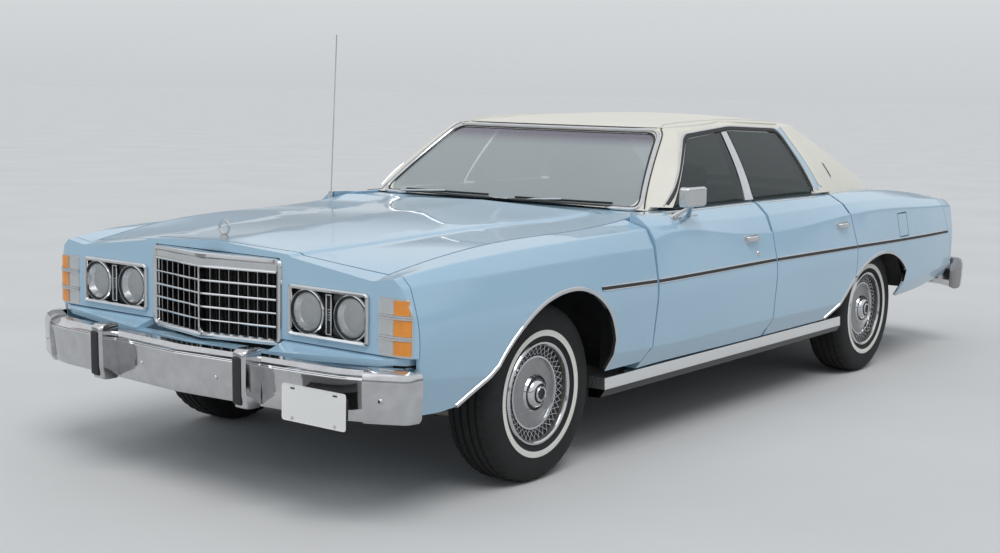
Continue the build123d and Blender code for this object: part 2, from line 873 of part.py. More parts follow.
def crown_block(drop=0.0):
    """Everything below the roof's crowned surface, lowered by the drop."""
    with BuildPart() as crown:
        for from_axle, side_z, centre_z in crown_rows:
            edge_z = centre_z - (centre_z - side_z) * (crown_edge_y / crown_side_y) ** 2 - drop
            top = (0, centre_z - drop)
            with BuildSketch(Plane.YZ.offset(front_axle_x + from_axle)):
                with BuildLine():
                    ThreePointArc((-crown_edge_y, edge_z), top, (crown_edge_y, edge_z))
                    Polyline(
                        (crown_edge_y, edge_z),
                        (crown_edge_y, 900),
                        (-crown_edge_y, 900),
                        (-crown_edge_y, edge_z),
                    )
                make_face()
        loft()
    return crown.part


windshield_outline = [(-742, 1004), (742, 1004), (578, 1316), (-578, 1316)]
rear_window_outline = [(-716, 1018), (716, 1018), (552, 1338), (-552, 1338)]
side_window = [
    (front_axle_x - 1046, window_bottom_z),
    (front_axle_x - 1434, 1300),
    (front_axle_x - 1900, 1334),
    (front_axle_x - 2396, 1318),
    (front_axle_x - 2458, 1030),
    (front_axle_x - 2452, window_bottom_z),
]
post_strip = [
    (front_axle_x - 1722, window_bottom_z),
    (front_axle_x - 1832, 1420),
    (front_axle_x - 1884, 1420),
    (front_axle_x - 1800, window_bottom_z),
]


windshield_radii = [40, 40, 50, 50]
rear_window_radii = [50, 50, 60, 60]
side_window_radii = [0, 40, 0, 50, 30, 0]
windshield_reach = (front_axle_x - 1500, front_axle_x - 700)
rear_window_reach = (rear_axle_x - 500, rear_axle_x + 480)
windshield_cut = cross_prism(windshield_outline, windshield_radii, *windshield_reach)
rear_window_cut = cross_prism(rear_window_outline, rear_window_radii, *rear_window_reach)
cabin_outer = greenhouse()
cabin_inner = greenhouse(roof_wall)
with BuildPart() as roof:
    add(cabin_outer)
    add(cabin_inner, mode=Mode.SUBTRACT)
    add(windshield_cut, mode=Mode.SUBTRACT)
    add(rear_window_cut, mode=Mode.SUBTRACT)
    add(side_prism(side_window, side_window_radii, -900, 900), mode=Mode.SUBTRACT)
    for y_from, y_to in ((-900, -782), (782, 900)):
        add(
            block(rear_axle_x + 412, front_axle_x, y_from, y_to, 900, window_bottom_z),
            mode=Mode.SUBTRACT,
        )
    add(rear_seat_surface, mode=Mode.SUBTRACT)
    add(mirrored(rear_seat_surface), mode=Mode.SUBTRACT)
write("roof", roof.part)

# Glass follows the cabin's surface just inside it
glass_outer = greenhouse(glass_inset)
glass_inner = greenhouse(glass_inset + glass_wall)
with BuildPart() as glass_shell:
    add(glass_outer)
    add(glass_inner, mode=Mode.SUBTRACT)


def glazing(cutter, name):
    """A pane of the glass shell inside one outline."""
    with BuildPart() as pane:
        add(glass_shell.part)
        add(cutter, mode=Mode.INTERSECT)
    write(name, pane.part)


glazing(cross_prism(windshield_outline, windshield_radii, *windshield_reach, seat_gap),
        "windshield")
glazing(cross_prism(rear_window_outline, rear_window_radii, *rear_window_reach, seat_gap),
        "rear_window")

# Door glass stands on the door's top edge
front_glass = [
    (side_window[0][0], sill_z),
    side_window[0],
    side_window[1],
    (front_axle_x - 1800, 1329),
    post_strip[0],
    (post_strip[0][0], sill_z),
]
rear_glass = [
    (post_strip[3][0], sill_z),
    post_strip[3],
    (front_axle_x - 1868, 1332),
    (front_axle_x - 1900, 1334),
    side_window[3],
    side_window[4],
    side_window[5],
    (side_window[5][0], sill_z),
]
for place, outline, radii in (
    ("front", front_glass, [0, 0, 40, 0, 0, 0]),
    ("rear", rear_glass, [0, 0, 0, 0, 50, 30, 0, 0]),
):
    with BuildPart() as pane:
        add(glass_shell.part)
        add(side_prism(outline, radii, 400, 900, panel_gap), mode=Mode.INTERSECT)
        bottom = pane.faces().sort_by(Axis.Z)[0]
        extrude(bottom, amount=panel_gap, dir=(0, 0, -1))
    write(f"glass_{place}_left", pane.part)
    write(f"glass_{place}_right", mirrored(pane.part))

# Posts between the doors, with the rear doors' hinge arms
post_foot_y = (half_width - 310, half_width - 242)
post_foot_x = (front_axle_x - 1806, front_axle_x - 1716)
with BuildPart() as post_face:
    add(glass_outer)
    add(cabin_inner, mode=Mode.SUBTRACT)
    add(side_prism(post_strip, 0, 300, 900), mode=Mode.INTERSECT)
    add(side_prism(side_window, side_window_radii, 300, 900, seat_gap), mode=Mode.INTERSECT)
with BuildPart() as post:
    add(block(post_foot_x[0], post_foot_x[1] - 26, post_foot_y[0], 900, window_bottom_z,
              window_bottom_z + 36))
    add(glass_outer, mode=Mode.INTERSECT)
    add(post_face.part)
    add(block(*post_foot_x, *post_foot_y, floor_z + sheet_wall / 2 + seat_gap,
              window_bottom_z + 36))
    add(hinge_arms(rear_hinge_x, post_foot_y[0]))
    for level in hinge_levels:
        add(block(rear_hinge_x - hinge_arm_half, post_foot_x[0] + 10, *post_foot_y,
                  level - hinge_arm_half, level + hinge_arm_half))
write("side_posts", both_sides(post.part))

# Floor pan with cowl, sills, tunnel, wheelhouses and trunk floor
pan_half = 775
sill_outer_y = 868
firewall_x = front_axle_x - 741
heel_x = rear_axle_x + 678
bulkhead_x = rear_axle_x + 314
trunk_z = 560
well_z = 450
seat_pan_z = 430
tunnel_half = 160
tunnel_z = 470
sill_rear_x = rear_axle_x + 400
sill_top_z = 350
pillar_y = 800
shelf_low_z = 940
wheelhouse_radius = 392
wheelhouse_y = (660, 965)
with BuildPart() as wheelhouse:
    with Locations((rear_axle_x, wheelhouse_y[0], hub_z)):
        Cylinder(wheelhouse_radius, wheelhouse_y[1] - wheelhouse_y[0], rotation=(-90, 0, 0),
                 align=(Align.CENTER, Align.CENTER, Align.MIN))
    with Locations((rear_axle_x, wheelhouse_y[0] + 6, hub_z)):
        Cylinder(wheelhouse_radius - 6, 400, rotation=(-90, 0, 0),
                 align=(Align.CENTER, Align.CENTER, Align.MIN), mode=Mode.SUBTRACT)
    add(block(rear_axle_x - 500, rear_axle_x + 500, 600, half_width, well_z - 10, 900),
        mode=Mode.INTERSECT)
with BuildPart() as floor_pan:
    with BuildSketch(Plane.XZ):
        with BuildLine() as path:
            Polyline(
                (firewall_x, 925),
                (firewall_x, 560),
                (firewall_x - 164, floor_z),
                (heel_x, floor_z),
                (heel_x, seat_pan_z),
                (bulkhead_x, seat_pan_z),
                (bulkhead_x, trunk_z),
                (rear_axle_x - 330, trunk_z),
                (rear_axle_x - 400, well_z),
                (rear_axle_x - 1130, well_z),
                (rear_axle_x - 1130, 600),
            )
        trace(path.edges(), line_width=sheet_wall)
    extrude(amount=pan_half, both=True)
    add(block(bulkhead_x - 4, bulkhead_x + 4, -wheelhouse_y[0], wheelhouse_y[0], seat_pan_z,
              shelf_low_z - seat_gap))
    add(block(heel_x - 20, firewall_x, -tunnel_half, tunnel_half, floor_z, tunnel_z))
    add(block(heel_x - 60, firewall_x + 60, -tunnel_half + 8, tunnel_half - 8, 200, tunnel_z - 8),
        mode=Mode.SUBTRACT)
    for side in (-1, 1):
        with Locations((rear_axle_x, side * (wheelhouse_y[0] + 206), hub_z)):
            Cylinder(wheelhouse_radius - 6, 400, rotation=(90, 0, 0), mode=Mode.SUBTRACT)
        y_near, y_far = sorted((side * (pan_half - 5), side * sill_outer_y))
        add(block(sill_rear_x, firewall_x, y_near, y_far, 262, sill_top_z))
        y_near, y_far = sorted((side * 700, side * pillar_y))
        add(block(firewall_x - 40, firewall_x + 4, y_near, y_far, 262, 925))
        y_near, y_far = sorted((side * 690, side * pan_half))
        add(block(firewall_x - 290, firewall_x - 150, y_near, y_far, 895, cowl_z - seat_gap))
    add(wheelhouse.part)
    add(mirrored(wheelhouse.part))
    add(hinge_arms(front_hinge_x, pillar_y - 10))
    add(mirrored(hinge_arms(front_hinge_x, pillar_y - 10)))
    add(block(firewall_x - 230, firewall_x + 4, -pan_half, pan_half, 895, 925))
    add(block(firewall_x - 230, firewall_x - 150, -pan_half, pan_half, 895, cowl_z - seat_gap))
write("floor_pan", floor_pan.part)

# Rockers below the doors
with BuildPart() as rocker:
    add(
        cross_prism(
            [
                (sill_outer_y + seat_gap, rocker_bottom_z),
                (half_width - 85, rocker_bottom_z),
                (half_width - 62, 305),
                (half_width - 64, rocker_top_z),
                (sill_outer_y + seat_gap, rocker_top_z),
            ],
            [0, 20, 10, 4, 0],
            sill_rear_x + 6,
            front_axle_x - 400,
        )
    )
write("rocker_sills", both_sides(rocker.part))

# Frame
rail_wide = 60
rail_high = 90
rail_front_z = rail_front_top_z - rail_high / 2
rail_mid_z = floor_z - sheet_wall / 2 - seat_gap - rail_high / 2
rail_rear_z = trunk_z - sheet_wall / 2 - seat_gap - rail_high / 2
rail_tail_z = well_z - sheet_wall / 2 - seat_gap - rail_high / 2
rail_mid_y = 640
tower_z = 454.7
with BuildPart() as frame_rails:
    with BuildSketch(Plane.XY):
        with BuildLine() as path:
            Polyline(
                (frame_front_x, rail_end_y),
                (front_axle_x - 505, rail_end_y),
                (front_axle_x - 805, rail_mid_y),
                (rear_axle_x + 718, rail_mid_y),
                (rear_axle_x + 468, rear_rail_y),
                (frame_rear_x, rear_rail_y),
            )
        trace(path.edges(), line_width=rail_wide)
    extrude(amount=900)
    with BuildSketch(Plane.XZ, mode=Mode.PRIVATE) as side_view:
        with BuildLine() as path:
            Polyline(
                (nose_end_x, rail_front_z),
                (front_axle_x - 405, rail_front_z),
                (front_axle_x - 805, rail_mid_z),
                (rear_axle_x + 518, rail_mid_z),
                (rear_axle_x + 420, 320),
                (rear_axle_x + 330, 340),
                (rear_axle_x + 100, rail_rear_z),
                (rear_axle_x - 195, rail_rear_z),
                (rear_axle_x - 375, rail_tail_z),
                (tail_end_x, rail_tail_z),
            )
        trace(path.edges(), line_width=rail_high)
    extrude(side_view.sketch, amount=1000, both=True, mode=Mode.INTERSECT)
    mirror(about=Plane.XZ)
    for from_axle, long, y_half, z_from, z_to in (
        (-65, 130, rail_end_y, 200, 250),
        (700, 60, rail_end_y, rail_front_z - 30, rail_front_z + 30),
        (-1195, 80, rail_mid_y, rail_mid_z - 20, rail_mid_z + 40),
    ):
        add(block(front_axle_x + from_axle, front_axle_x + from_axle + long, -y_half, y_half,
                  z_from, z_to))
    for from_axle, y_half, z_centre in ((640, 600, rail_mid_z + 10),
                                        (-320, rear_rail_y, rail_rear_z - 20),
                                        (-1110, rear_rail_y, rail_tail_z)):
        add(block(rear_axle_x + from_axle, rear_axle_x + from_axle + 60, -y_half, y_half,
                  z_centre - 30, z_centre + 30))
    for side in (-1, 1):
        y_near, y_far = sorted((side * 380, side * 450))
        add(block(front_axle_x - 65, front_axle_x + 65, y_near, y_far, 200, 400))
        y_near, y_far = sorted((side * 440, side * 585))
        add(block(front_axle_x - 70, front_axle_x + 70, y_near, y_far, 385, tower_z))
write("frame_rails", frame_rails.part)

# Front suspension arms and springs, and the knuckles that carry the front wheels
steer_y = front_track / 2 - 77
lower_arm_z = 245
upper_arm_z = tower_z + seat_gap
stud_radius = 12
arm_thick = 20
with BuildPart() as suspension_left:
    add(
        plan_prism(
            [
                (front_axle_x - 150, 452),
                (front_axle_x + 150, 452),
                (front_axle_x + 30, steer_y + 25),
                (front_axle_x - 30, steer_y + 25),
            ],
            [0, 0, 22, 22],
            lower_arm_z - arm_thick,
            lower_arm_z,
        )
    )
    with Locations((front_axle_x, steer_y, lower_arm_z)):
        Cylinder(stud_radius, 28, align=(Align.CENTER, Align.CENTER, Align.MIN))
    with Locations((front_axle_x, 520, lower_arm_z)):
        Cylinder(56, 385 - seat_gap - lower_arm_z, align=(Align.CENTER, Align.CENTER, Align.MIN))
        Cylinder(44, 385 - seat_gap - lower_arm_z, align=(Align.CENTER, Align.CENTER, Align.MIN),
                 mode=Mode.SUBTRACT)
    add(
        plan_prism(
            [
                (front_axle_x - 90, 480),
                (front_axle_x + 90, 480),
                (front_axle_x + 26, steer_y + 22),
                (front_axle_x - 26, steer_y + 22),
            ],
            [0, 0, 18, 18],
            upper_arm_z,
            upper_arm_z + arm_thick,
        )
    )
    with Locations((front_axle_x, steer_y, upper_arm_z)):
        Cylinder(stud_radius, 28, align=(Align.CENTER, Align.CENTER, Align.MAX))
write("front_suspension", both_sides(suspension_left.part))

with BuildPart() as knuckle:
    add(block(front_axle_x - 28, front_axle_x + 28, steer_y - 26, steer_y + 26, lower_arm_z + 1,
              upper_arm_z - 1))
    fillet(knuckle.edges().filter_by(Axis.Z), 12)
    with Locations((front_axle_x, steer_y + 20, hub_z)):
        Cylinder(spindle_radius, front_track / 2 + 70 - steer_y - 20, rotation=(-90, 0, 0),
                 align=(Align.CENTER, Align.CENTER, Align.MIN))
    add(block(front_axle_x - 120, front_axle_x - 20, steer_y - 26, steer_y - 4, lower_arm_z + 12,
              lower_arm_z + 32))
    with Locations((front_axle_x, steer_y, lower_arm_z + 1)):
        Cylinder(stud_radius + shaft_gap, 29, align=(Align.CENTER, Align.CENTER, Align.MIN),
                 mode=Mode.SUBTRACT)
    with Locations((front_axle_x, steer_y, upper_arm_z - 1)):
        Cylinder(stud_radius + shaft_gap, 29, align=(Align.CENTER, Align.CENTER, Align.MAX),
                 mode=Mode.SUBTRACT)
write("knuckle_left", knuckle.part)
write("knuckle_right", mirrored(knuckle.part))

# Rear axle
axle_tube = 38
with BuildPart() as rear_axle:
    with Locations((rear_axle_x, 0, hub_z)):
        Cylinder(axle_tube, rear_track - 120, rotation=(90, 0, 0))
        Cylinder(spindle_radius, rear_track + 140, rotation=(90, 0, 0))
        Sphere(112)
    with Locations((rear_axle_x + 130, 0, hub_z)):
        Cylinder(48, 80, rotation=(0, 90, 0))
    for side in (-1, 1):
        with Locations((rear_axle_x, side * rear_rail_y, hub_z)):
            Cylinder(55, rail_rear_z - rail_high / 2 - seat_gap - hub_z,
                     align=(Align.CENTER, Align.CENTER, Align.MIN))
write("rear_axle", rear_axle.part)

# Wheels and tyres. The wheel's profile columns: radius, outward from the wheel's middle
wheel_profile = [
    (0, 76),
    (spindle_radius + shaft_gap, 76),
    (spindle_radius + shaft_gap, -48),
    (62, -48),
    (62, 44),
    (174, 44),
    (174, -92),
    (198, -92),
    (198, -86.3),
    (185.9, -86.3),
    (185.9, 86.3),
    (202, 86.3),
    (204, 91),
    (200, 96),
    (189, 95),
    (172, 66),
    (150, 60),
    (146, 68),
    (140, 68),
    (137, 62),
    (72, 68),
    (66, 75),
    (59, 78),
    (40, 100),
    (30, 104),
    (0, 105),
]
tyre_profile = [
    (tyre_bead_radius, -86),
    (204, -86),
    (262, -tyre_width / 2),
    (318, -98),
    (341, -84),
    (tyre_radius, -60),
    (tyre_radius, 60),
    (341, 84),
    (318, 98),
    (262, tyre_width / 2),
    (204, 86),
    (tyre_bead_radius, 86),
]


def turned(profile, radii, centre):
    """A ring turned about the car's cross axis, its outside facing left."""
    with BuildPart() as ring:
        with BuildSketch(Plane.XY):
            closed_face(profile, radii)
        revolve(axis=Axis.Y)
    return Location(centre) * ring.part


for place, axle_x, track in (("front", front_axle_x, front_track),
                             ("rear", rear_axle_x, rear_track)):
    centre = (axle_x, track / 2, hub_z)
    wheel = turned(wheel_profile, 0, centre)
    tyre = turned(tyre_profile, [0, 20, 60, 30, 14, 30, 30, 14, 30, 60, 20, 0], centre)
    with BuildPart() as wheel_left:
        add(wheel)
    with BuildPart() as tyre_left:
        add(tyre)
        add(block(axle_x - 300, axle_x + 300, 0, half_width, -20, 0), mode=Mode.SUBTRACT)
    write(f"wheel_{place}_left", wheel_left.part)
    write(f"wheel_{place}_right", mirrored(wheel_left.part))
    write(f"tyre_{place}_left", tyre_left.part)
    write(f"tyre_{place}_right", mirrored(tyre_left.part))

# Engine, gearbox and drive shaft
engine_rear_x = front_axle_x - 580
gearbox_rear_x = front_axle_x - 1035
with BuildPart() as engine_block:
    add(
        cross_prism(
            [(-150, 250 + seat_gap), (150, 250 + seat_gap), (170, 420), (280, 560), (280, 720),
             (180, 790), (-180, 790), (-280, 720), (-280, 560), (-170, 420)],
            0,
            engine_rear_x,
            front_axle_x + 100,
        )
    )
write("engine_block", engine_block.part)
with BuildPart() as driveline:
    with BuildSketch(Plane.YZ.offset(engine_rear_x - seat_gap)):
        with Locations((0, 360)):
            RectangleRounded(250, 190, 40)
    with BuildSketch(Plane.YZ.offset(gearbox_rear_x)):
        with Locations((0, 348)):
            RectangleRounded(130, 110, 40)
    loft()
    with Locations((gearbox_rear_x + 1, 0, 348)):
        Cylinder(36, gearbox_rear_x + 1 - rear_axle_x - 170 - seat_gap, rotation=(0, -90, 0),
                 align=(Align.CENTER, Align.CENTER, Align.MIN))
write("driveline", driveline.part)

# Exhaust
pipe_radius = 26
pipe_z = 186
with BuildPart() as exhaust:
    with BuildLine() as route:
        FilletPolyline(
            (front_axle_x - 455, -280 - seat_gap, 620),
            (front_axle_x - 455, -335, 620),
            (front_axle_x - 485, -340, 420),
            (front_axle_x - 805, -360, pipe_z),
            (rear_axle_x + 618, -360, pipe_z),
            (rear_axle_x + 280, -430, 370),
            (rear_axle_x, -432, 425),
            (rear_axle_x - 320, -435, 400),
            (rear_axle_x - 480, -445, 330),
            (rear_axle_x - 1282, -445, 330),
            radius=[28, 80, 120, 150, 150, 150, 150, 150],
        )
    with BuildSketch(Plane(origin=route.line @ 0, z_dir=route.line % 0)):
        Circle(pipe_radius)
    sweep(path=route.line)
    with BuildSketch(Plane.YZ.offset(front_axle_x - 1450)):
        with Locations((-360, pipe_z)):
            SlotOverall(220, 108)
    extrude(amount=-560)
    add(block(front_axle_x - 1165, front_axle_x - 1145, -380, -340, pipe_z,
              rail_mid_z - 20 - seat_gap))
    add(block(rear_axle_x - 300, rear_axle_x - 280, -450, -425, 390,
              rail_rear_z - 50 - seat_gap))
write("exhaust_system", exhaust.part)

# Fuel tank
with BuildPart() as fuel_tank:
    add(block(rear_axle_x - 1040, rear_axle_x - 450, -380, 380, 255,
              well_z - sheet_wall / 2 - seat_gap))
    fillet(fuel_tank.edges().filter_by(Axis.Z), 50)
write("fuel_tank", fuel_tank.part)

# Dashboard with the steering column
column_y = 370
column_tilt = 24
wheel_hub = (front_axle_x - 1300, column_y, 838)
column_plane = Plane(
    origin=wheel_hub,
    x_dir=(0, 1, 0),
    z_dir=(math.cos(math.radians(column_tilt)), 0, -math.sin(math.radians(column_tilt))),
)
dash_front_x = firewall_x - 230 - seat_gap
with BuildPart() as dashboard:
    add(
        side_prism(
            [(dash_front_x, 975), (dash_front_x - 140, 968), (dash_front_x - 220, 925),
             (dash_front_x - 235, 800), (dash_front_x - 180, 680), (dash_front_x, 660)],
            [0, 60, 40, 40, 40, 0],
            -685,
            685,
        )
    )
    with BuildSketch(column_plane.offset(36)):
        Circle(27)
    extrude(amount=190)
    with BuildSketch(column_plane.offset(36)):
        Circle(10 + shaft_gap)
    extrude(amount=70, mode=Mode.SUBTRACT)
write("dashboard", dashboard.part)
with BuildPart() as steering_wheel:
    with BuildSketch(column_plane):
        with BuildLine() as spoke_line:
            Line((-185, 0), (185, 0))
        trace(spoke_line.edges(), line_width=46)
        Circle(46)
    extrude(amount=16)
    with BuildSketch(Plane(origin=column_plane.from_local_coords((190, 0, 4)),
                           x_dir=column_plane.x_dir, z_dir=column_plane.y_dir)):
        Circle(12)
    revolve(axis=Axis(wheel_hub, column_plane.z_dir))
    with BuildSketch(column_plane.offset(14)):
        Circle(10)
    extrude(amount=80)
write("steering_wheel", steering_wheel.part)

# Seats
seat_half = 680
rear_seat_z = seat_pan_z + sheet_wall / 2 + seat_gap
with BuildPart() as front_seat:
    add(
        side_prism(
            [(front_axle_x - 1350, 405), (front_axle_x - 1345, 545),
             (front_axle_x - 1800, 505), (front_axle_x - 1930, 1020),
             (front_axle_x - 2040, 1010), (front_axle_x - 1925, 405)],
            [40, 60, 40, 45, 45, 40],
            -seat_half,
            seat_half,
        )
    )
    add(block(front_axle_x - 1880, front_axle_x - 1420, -560, 560,
              floor_z + sheet_wall / 2 + seat_gap, 410))
    add(block(front_axle_x - 2100, front_axle_x - 1300, -tunnel_half - 12, tunnel_half + 12,
              200, tunnel_z + 8), mode=Mode.SUBTRACT)
write("front_seat", front_seat.part)
with BuildPart() as rear_seat:
    add(
        side_prism(
            [(bulkhead_x + 440, rear_seat_z), (bulkhead_x + 450, 600),
             (bulkhead_x + 150, 570), (bulkhead_x + 60, 932),
             (bulkhead_x + 4 + seat_gap, 932), (bulkhead_x + 4 + seat_gap, rear_seat_z)],
            [30, 60, 40, 30, 0, 0],
            -wheelhouse_y[0] + 6,
            wheelhouse_y[0] - 6,
        )
    )
    add(block(heel_x - 28, heel_x + 200, -tunnel_half - 8, tunnel_half + 8, 400, tunnel_z + 8),
        mode=Mode.SUBTRACT)
write("rear_seat", rear_seat.part)

# Antenna on the right fender, mirror on the left front door, ornament on the hood
with BuildPart() as antenna:
    with BuildLine() as mast:
        Line((front_axle_x - 690, -864, 940), (front_axle_x - 726, -864, 1752))
    with BuildSketch(Plane(origin=mast.line @ 0, z_dir=mast.line % 0)):
        Circle(3)
    sweep(path=mast.line)
    with Locations((front_axle_x - 690, -864, 930)):
        Cylinder(13, 64, align=(Align.CENTER, Align.CENTER, Align.MIN))
    add(mirrored(front_outer), mode=Mode.SUBTRACT)
write("antenna", antenna.part)

with BuildPart() as door_mirror:
    add(block(front_axle_x - 1075, front_axle_x - 915, 958, 1010, 1022, 1108))
    fillet(door_mirror.edges(), 14)
    with BuildLine() as arm:
        Line((front_axle_x - 1120, 885, 940), (front_axle_x - 1010, 975, 1050))
    with BuildSketch(Plane(origin=arm.line @ 0, z_dir=arm.line % 0)):
        Circle(11)
    sweep(path=arm.line)
    add(block(front_axle_x - 1165, front_axle_x - 1075, 880, 915, 930, 975))
    add(rear_outer, mode=Mode.SUBTRACT)
write("door_mirror", door_mirror.part)

with BuildPart() as hood_ornament:
    with Locations((front_axle_x + 785, 0, 905)):
        Cylinder(16, 42, align=(Align.CENTER, Align.CENTER, Align.MIN))
    with Locations((front_axle_x + 785, 0, 975)):
        Cylinder(29, 8, rotation=(0, 90, 0))
        Cylinder(22, 8, rotation=(0, 90, 0), mode=Mode.SUBTRACT)
    add(front_outer, mode=Mode.SUBTRACT)
    add(mirrored(front_outer), mode=Mode.SUBTRACT)
write("hood_ornament", hood_ornament.part)
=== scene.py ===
"""Looks of the full-size sedan, in metres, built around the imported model."""

import json
import math

import bmesh
import bpy
from mathutils import Matrix, Vector
from mathutils.bvhtree import BVHTree


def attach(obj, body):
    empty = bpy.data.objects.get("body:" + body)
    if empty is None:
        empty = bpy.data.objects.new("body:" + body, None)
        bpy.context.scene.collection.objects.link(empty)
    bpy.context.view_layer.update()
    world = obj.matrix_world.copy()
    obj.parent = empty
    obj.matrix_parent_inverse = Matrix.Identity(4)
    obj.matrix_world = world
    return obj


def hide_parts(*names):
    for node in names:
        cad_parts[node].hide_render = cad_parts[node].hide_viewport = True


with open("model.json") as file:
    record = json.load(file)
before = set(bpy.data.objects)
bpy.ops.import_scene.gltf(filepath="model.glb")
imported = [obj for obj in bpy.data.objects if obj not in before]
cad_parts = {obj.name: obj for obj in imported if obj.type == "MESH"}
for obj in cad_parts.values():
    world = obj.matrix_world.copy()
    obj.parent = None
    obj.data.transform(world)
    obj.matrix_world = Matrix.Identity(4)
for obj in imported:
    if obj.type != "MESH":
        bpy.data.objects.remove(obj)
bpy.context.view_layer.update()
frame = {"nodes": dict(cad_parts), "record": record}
nodes = frame["nodes"]
scene = bpy.context.scene

FRONT_AXLE = 1.755
REAR_AXLE = -1.318
HUB_Z = 0.348
NOSE_FACE = 2.583
TAIL_FACE = -2.508
F = FRONT_AXLE  # glass and seats are placed from the front axle

# Camera, from the photograph
CAMERA_AT = (6.265, 4.113, 1.510)
CAMERA_YAW, CAMERA_PITCH, CAMERA_ROLL = 217.07, -7.323, 1.162
CAMERA_LENS = 52.64

# Distances under which points are one, and the angle under which edges are smooth
NODE_WELD = 0.00005
PIECE_WELD = 0.00002
SMOOTH_DEGREES = 34
STRIP_SUNK = 0.002


# Materials
def principled(name):
    """A new material and its shader."""
    made = bpy.data.materials.new(name)
    made.use_nodes = True
    return made, made.node_tree.nodes["Principled BSDF"]


def object_place(tree):
    """The place on the object, as a texture coordinate."""
    return tree.nodes.new("ShaderNodeTexCoord").outputs["Object"]


def noise_value(tree, scale, detail=2.0, stretch=None):
    """Noise in the object's own coordinates."""
    source = object_place(tree)
    if stretch:
        mapping = tree.nodes.new("ShaderNodeMapping")
        mapping.inputs["Scale"].default_value = stretch
        tree.links.new(source, mapping.inputs["Vector"])
        source = mapping.outputs["Vector"]
    noise = tree.nodes.new("ShaderNodeTexNoise")
    noise.inputs["Scale"].default_value = scale
    noise.inputs["Detail"].default_value = detail
    tree.links.new(source, noise.inputs["Vector"])
    return noise.outputs["Fac"]


def ramp(tree, value, stops):
    """A colour ramp over a value."""
    node = tree.nodes.new("ShaderNodeValToRGB")
    elements = node.color_ramp.elements
    while len(elements) < len(stops):
        elements.new(0.5)
    for element, (place, colour) in zip(elements, stops):
        element.position = place
        element.color = (*colour, 1)
    tree.links.new(value, node.inputs["Fac"])
    return node.outputs["Color"]


def spread(tree, value, low, high):
    """A value mapped to a range."""
    node = tree.nodes.new("ShaderNodeMapRange")
    node.inputs["To Min"].default_value = low
    node.inputs["To Max"].default_value = high
    tree.links.new(value, node.inputs["Value"])
    return node.outputs["Result"]


def bump(tree, shader, value, strength, distance):
    """A bump on the shader from a value."""
    node = tree.nodes.new("ShaderNodeBump")
    node.inputs["Strength"].default_value = strength
    node.inputs["Distance"].default_value = distance
    tree.links.new(value, node.inputs["Height"])
    tree.links.new(node.outputs["Normal"], shader.inputs["Normal"])


def surface(name, colour, rough, metal=0.0, vary=0.06, vary_scale=3.0, rough_vary=0.05, grain=None,
            grain_strength=0.2, coat=0.0, alpha=1.0, stretch=None, specular=0.5):
    """A material with colour and roughness that vary over the surface, and a fine grain."""
    made, shader = principled(name)
    tree = made.node_tree
    soft = noise_value(tree, vary_scale, 3.0)
    low = [max(0.0, c * (1 - vary)) for c in colour]
    high = [min(1.0, c * (1 + vary)) for c in colour]
    tree.links.new(ramp(tree, soft, [(0.3, low), (0.7, high)]), shader.inputs["Base Color"])
    fine = noise_value(tree, vary_scale * 9, 4.0)
    tree.links.new(spread(tree, fine, max(0.02, rough - rough_vary), rough + rough_vary),
                   shader.inputs["Roughness"])
    shader.inputs["Metallic"].default_value = metal
    shader.inputs["Coat Weight"].default_value = coat
    shader.inputs["Coat Roughness"].default_value = 0.04
    shader.inputs["Specular IOR Level"].default_value = specular
    shader.inputs["Alpha"].default_value = alpha
    if grain:
        bump(tree, shader, noise_value(tree, grain, 2.0, stretch), grain_strength, 0.001)
    return made


PAINT_BLUE = (0.345, 0.53, 0.675)
paint = surface("blue_paint", PAINT_BLUE, 0.30, vary=0.03, vary_scale=1.2, coat=0.9, grain=900,
                grain_strength=0.02)
chrome = surface("chrome", (0.60, 0.61, 0.62), 0.10, metal=1.0, vary=0.05, vary_scale=14,
                 rough_vary=0.04)
bumper_chrome = surface("bumper_chrome", (0.56, 0.56, 0.57), 0.10, metal=1.0, vary=0.08,
                        vary_scale=20, rough_vary=0.07, grain=260, grain_strength=0.03)
brushed = surface("brushed_steel", (0.33, 0.33, 0.335), 0.32, metal=1.0, vary=0.06, vary_scale=30,
                  grain=400, grain_strength=0.08)
dark_metal = surface("dark_metal", (0.035, 0.036, 0.04), 0.45, metal=0.4, vary=0.2)
black_rubber = surface("black_rubber", (0.018, 0.018, 0.019), 0.62, vary=0.25, vary_scale=12,
                       grain=700)
tyre_rubber = surface("tyre_rubber", (0.009, 0.009, 0.0095), 0.82, vary=0.3, vary_scale=14,
                      grain=500, grain_strength=0.35)
whitewall = surface("whitewall", (0.78, 0.77, 0.72), 0.6, vary=0.06, vary_scale=12, grain=500)
under_black = surface("underbody", (0.030, 0.029, 0.028), 0.75, vary=0.35, vary_scale=6, grain=120)
iron = surface("cast_iron", (0.10, 0.10, 0.105), 0.65, metal=0.7, vary=0.25, vary_scale=10,
               grain=200)
dull_steel = surface("dull_steel", (0.24, 0.22, 0.20), 0.5, metal=0.8, vary=0.3, vary_scale=9,
                     grain=160)
dash_blue = surface("dash_plastic", (0.05, 0.08, 0.11), 0.55, vary=0.1, grain=900)
wheel_rim_dark = surface("steering_rim", (0.025, 0.03, 0.04), 0.35, vary=0.1, grain=500,
                         grain_strength=0.1)
carpet = surface("carpet", (0.06, 0.09, 0.13), 0.95, vary=0.4, vary_scale=60, grain=1200,
                 grain_strength=0.9)
lamp_housing = surface("lamp_housing", (0.16, 0.165, 0.17), 0.35, metal=0.8, vary=0.15)
plate_white = surface("blank_plate", (0.80, 0.80, 0.78), 0.4, vary=0.03, grain=90,
                      grain_strength=0.08)
amber = surface("amber_lens", (0.80, 0.27, 0.015), 0.16, vary=0.08, vary_scale=20, coat=0.8)
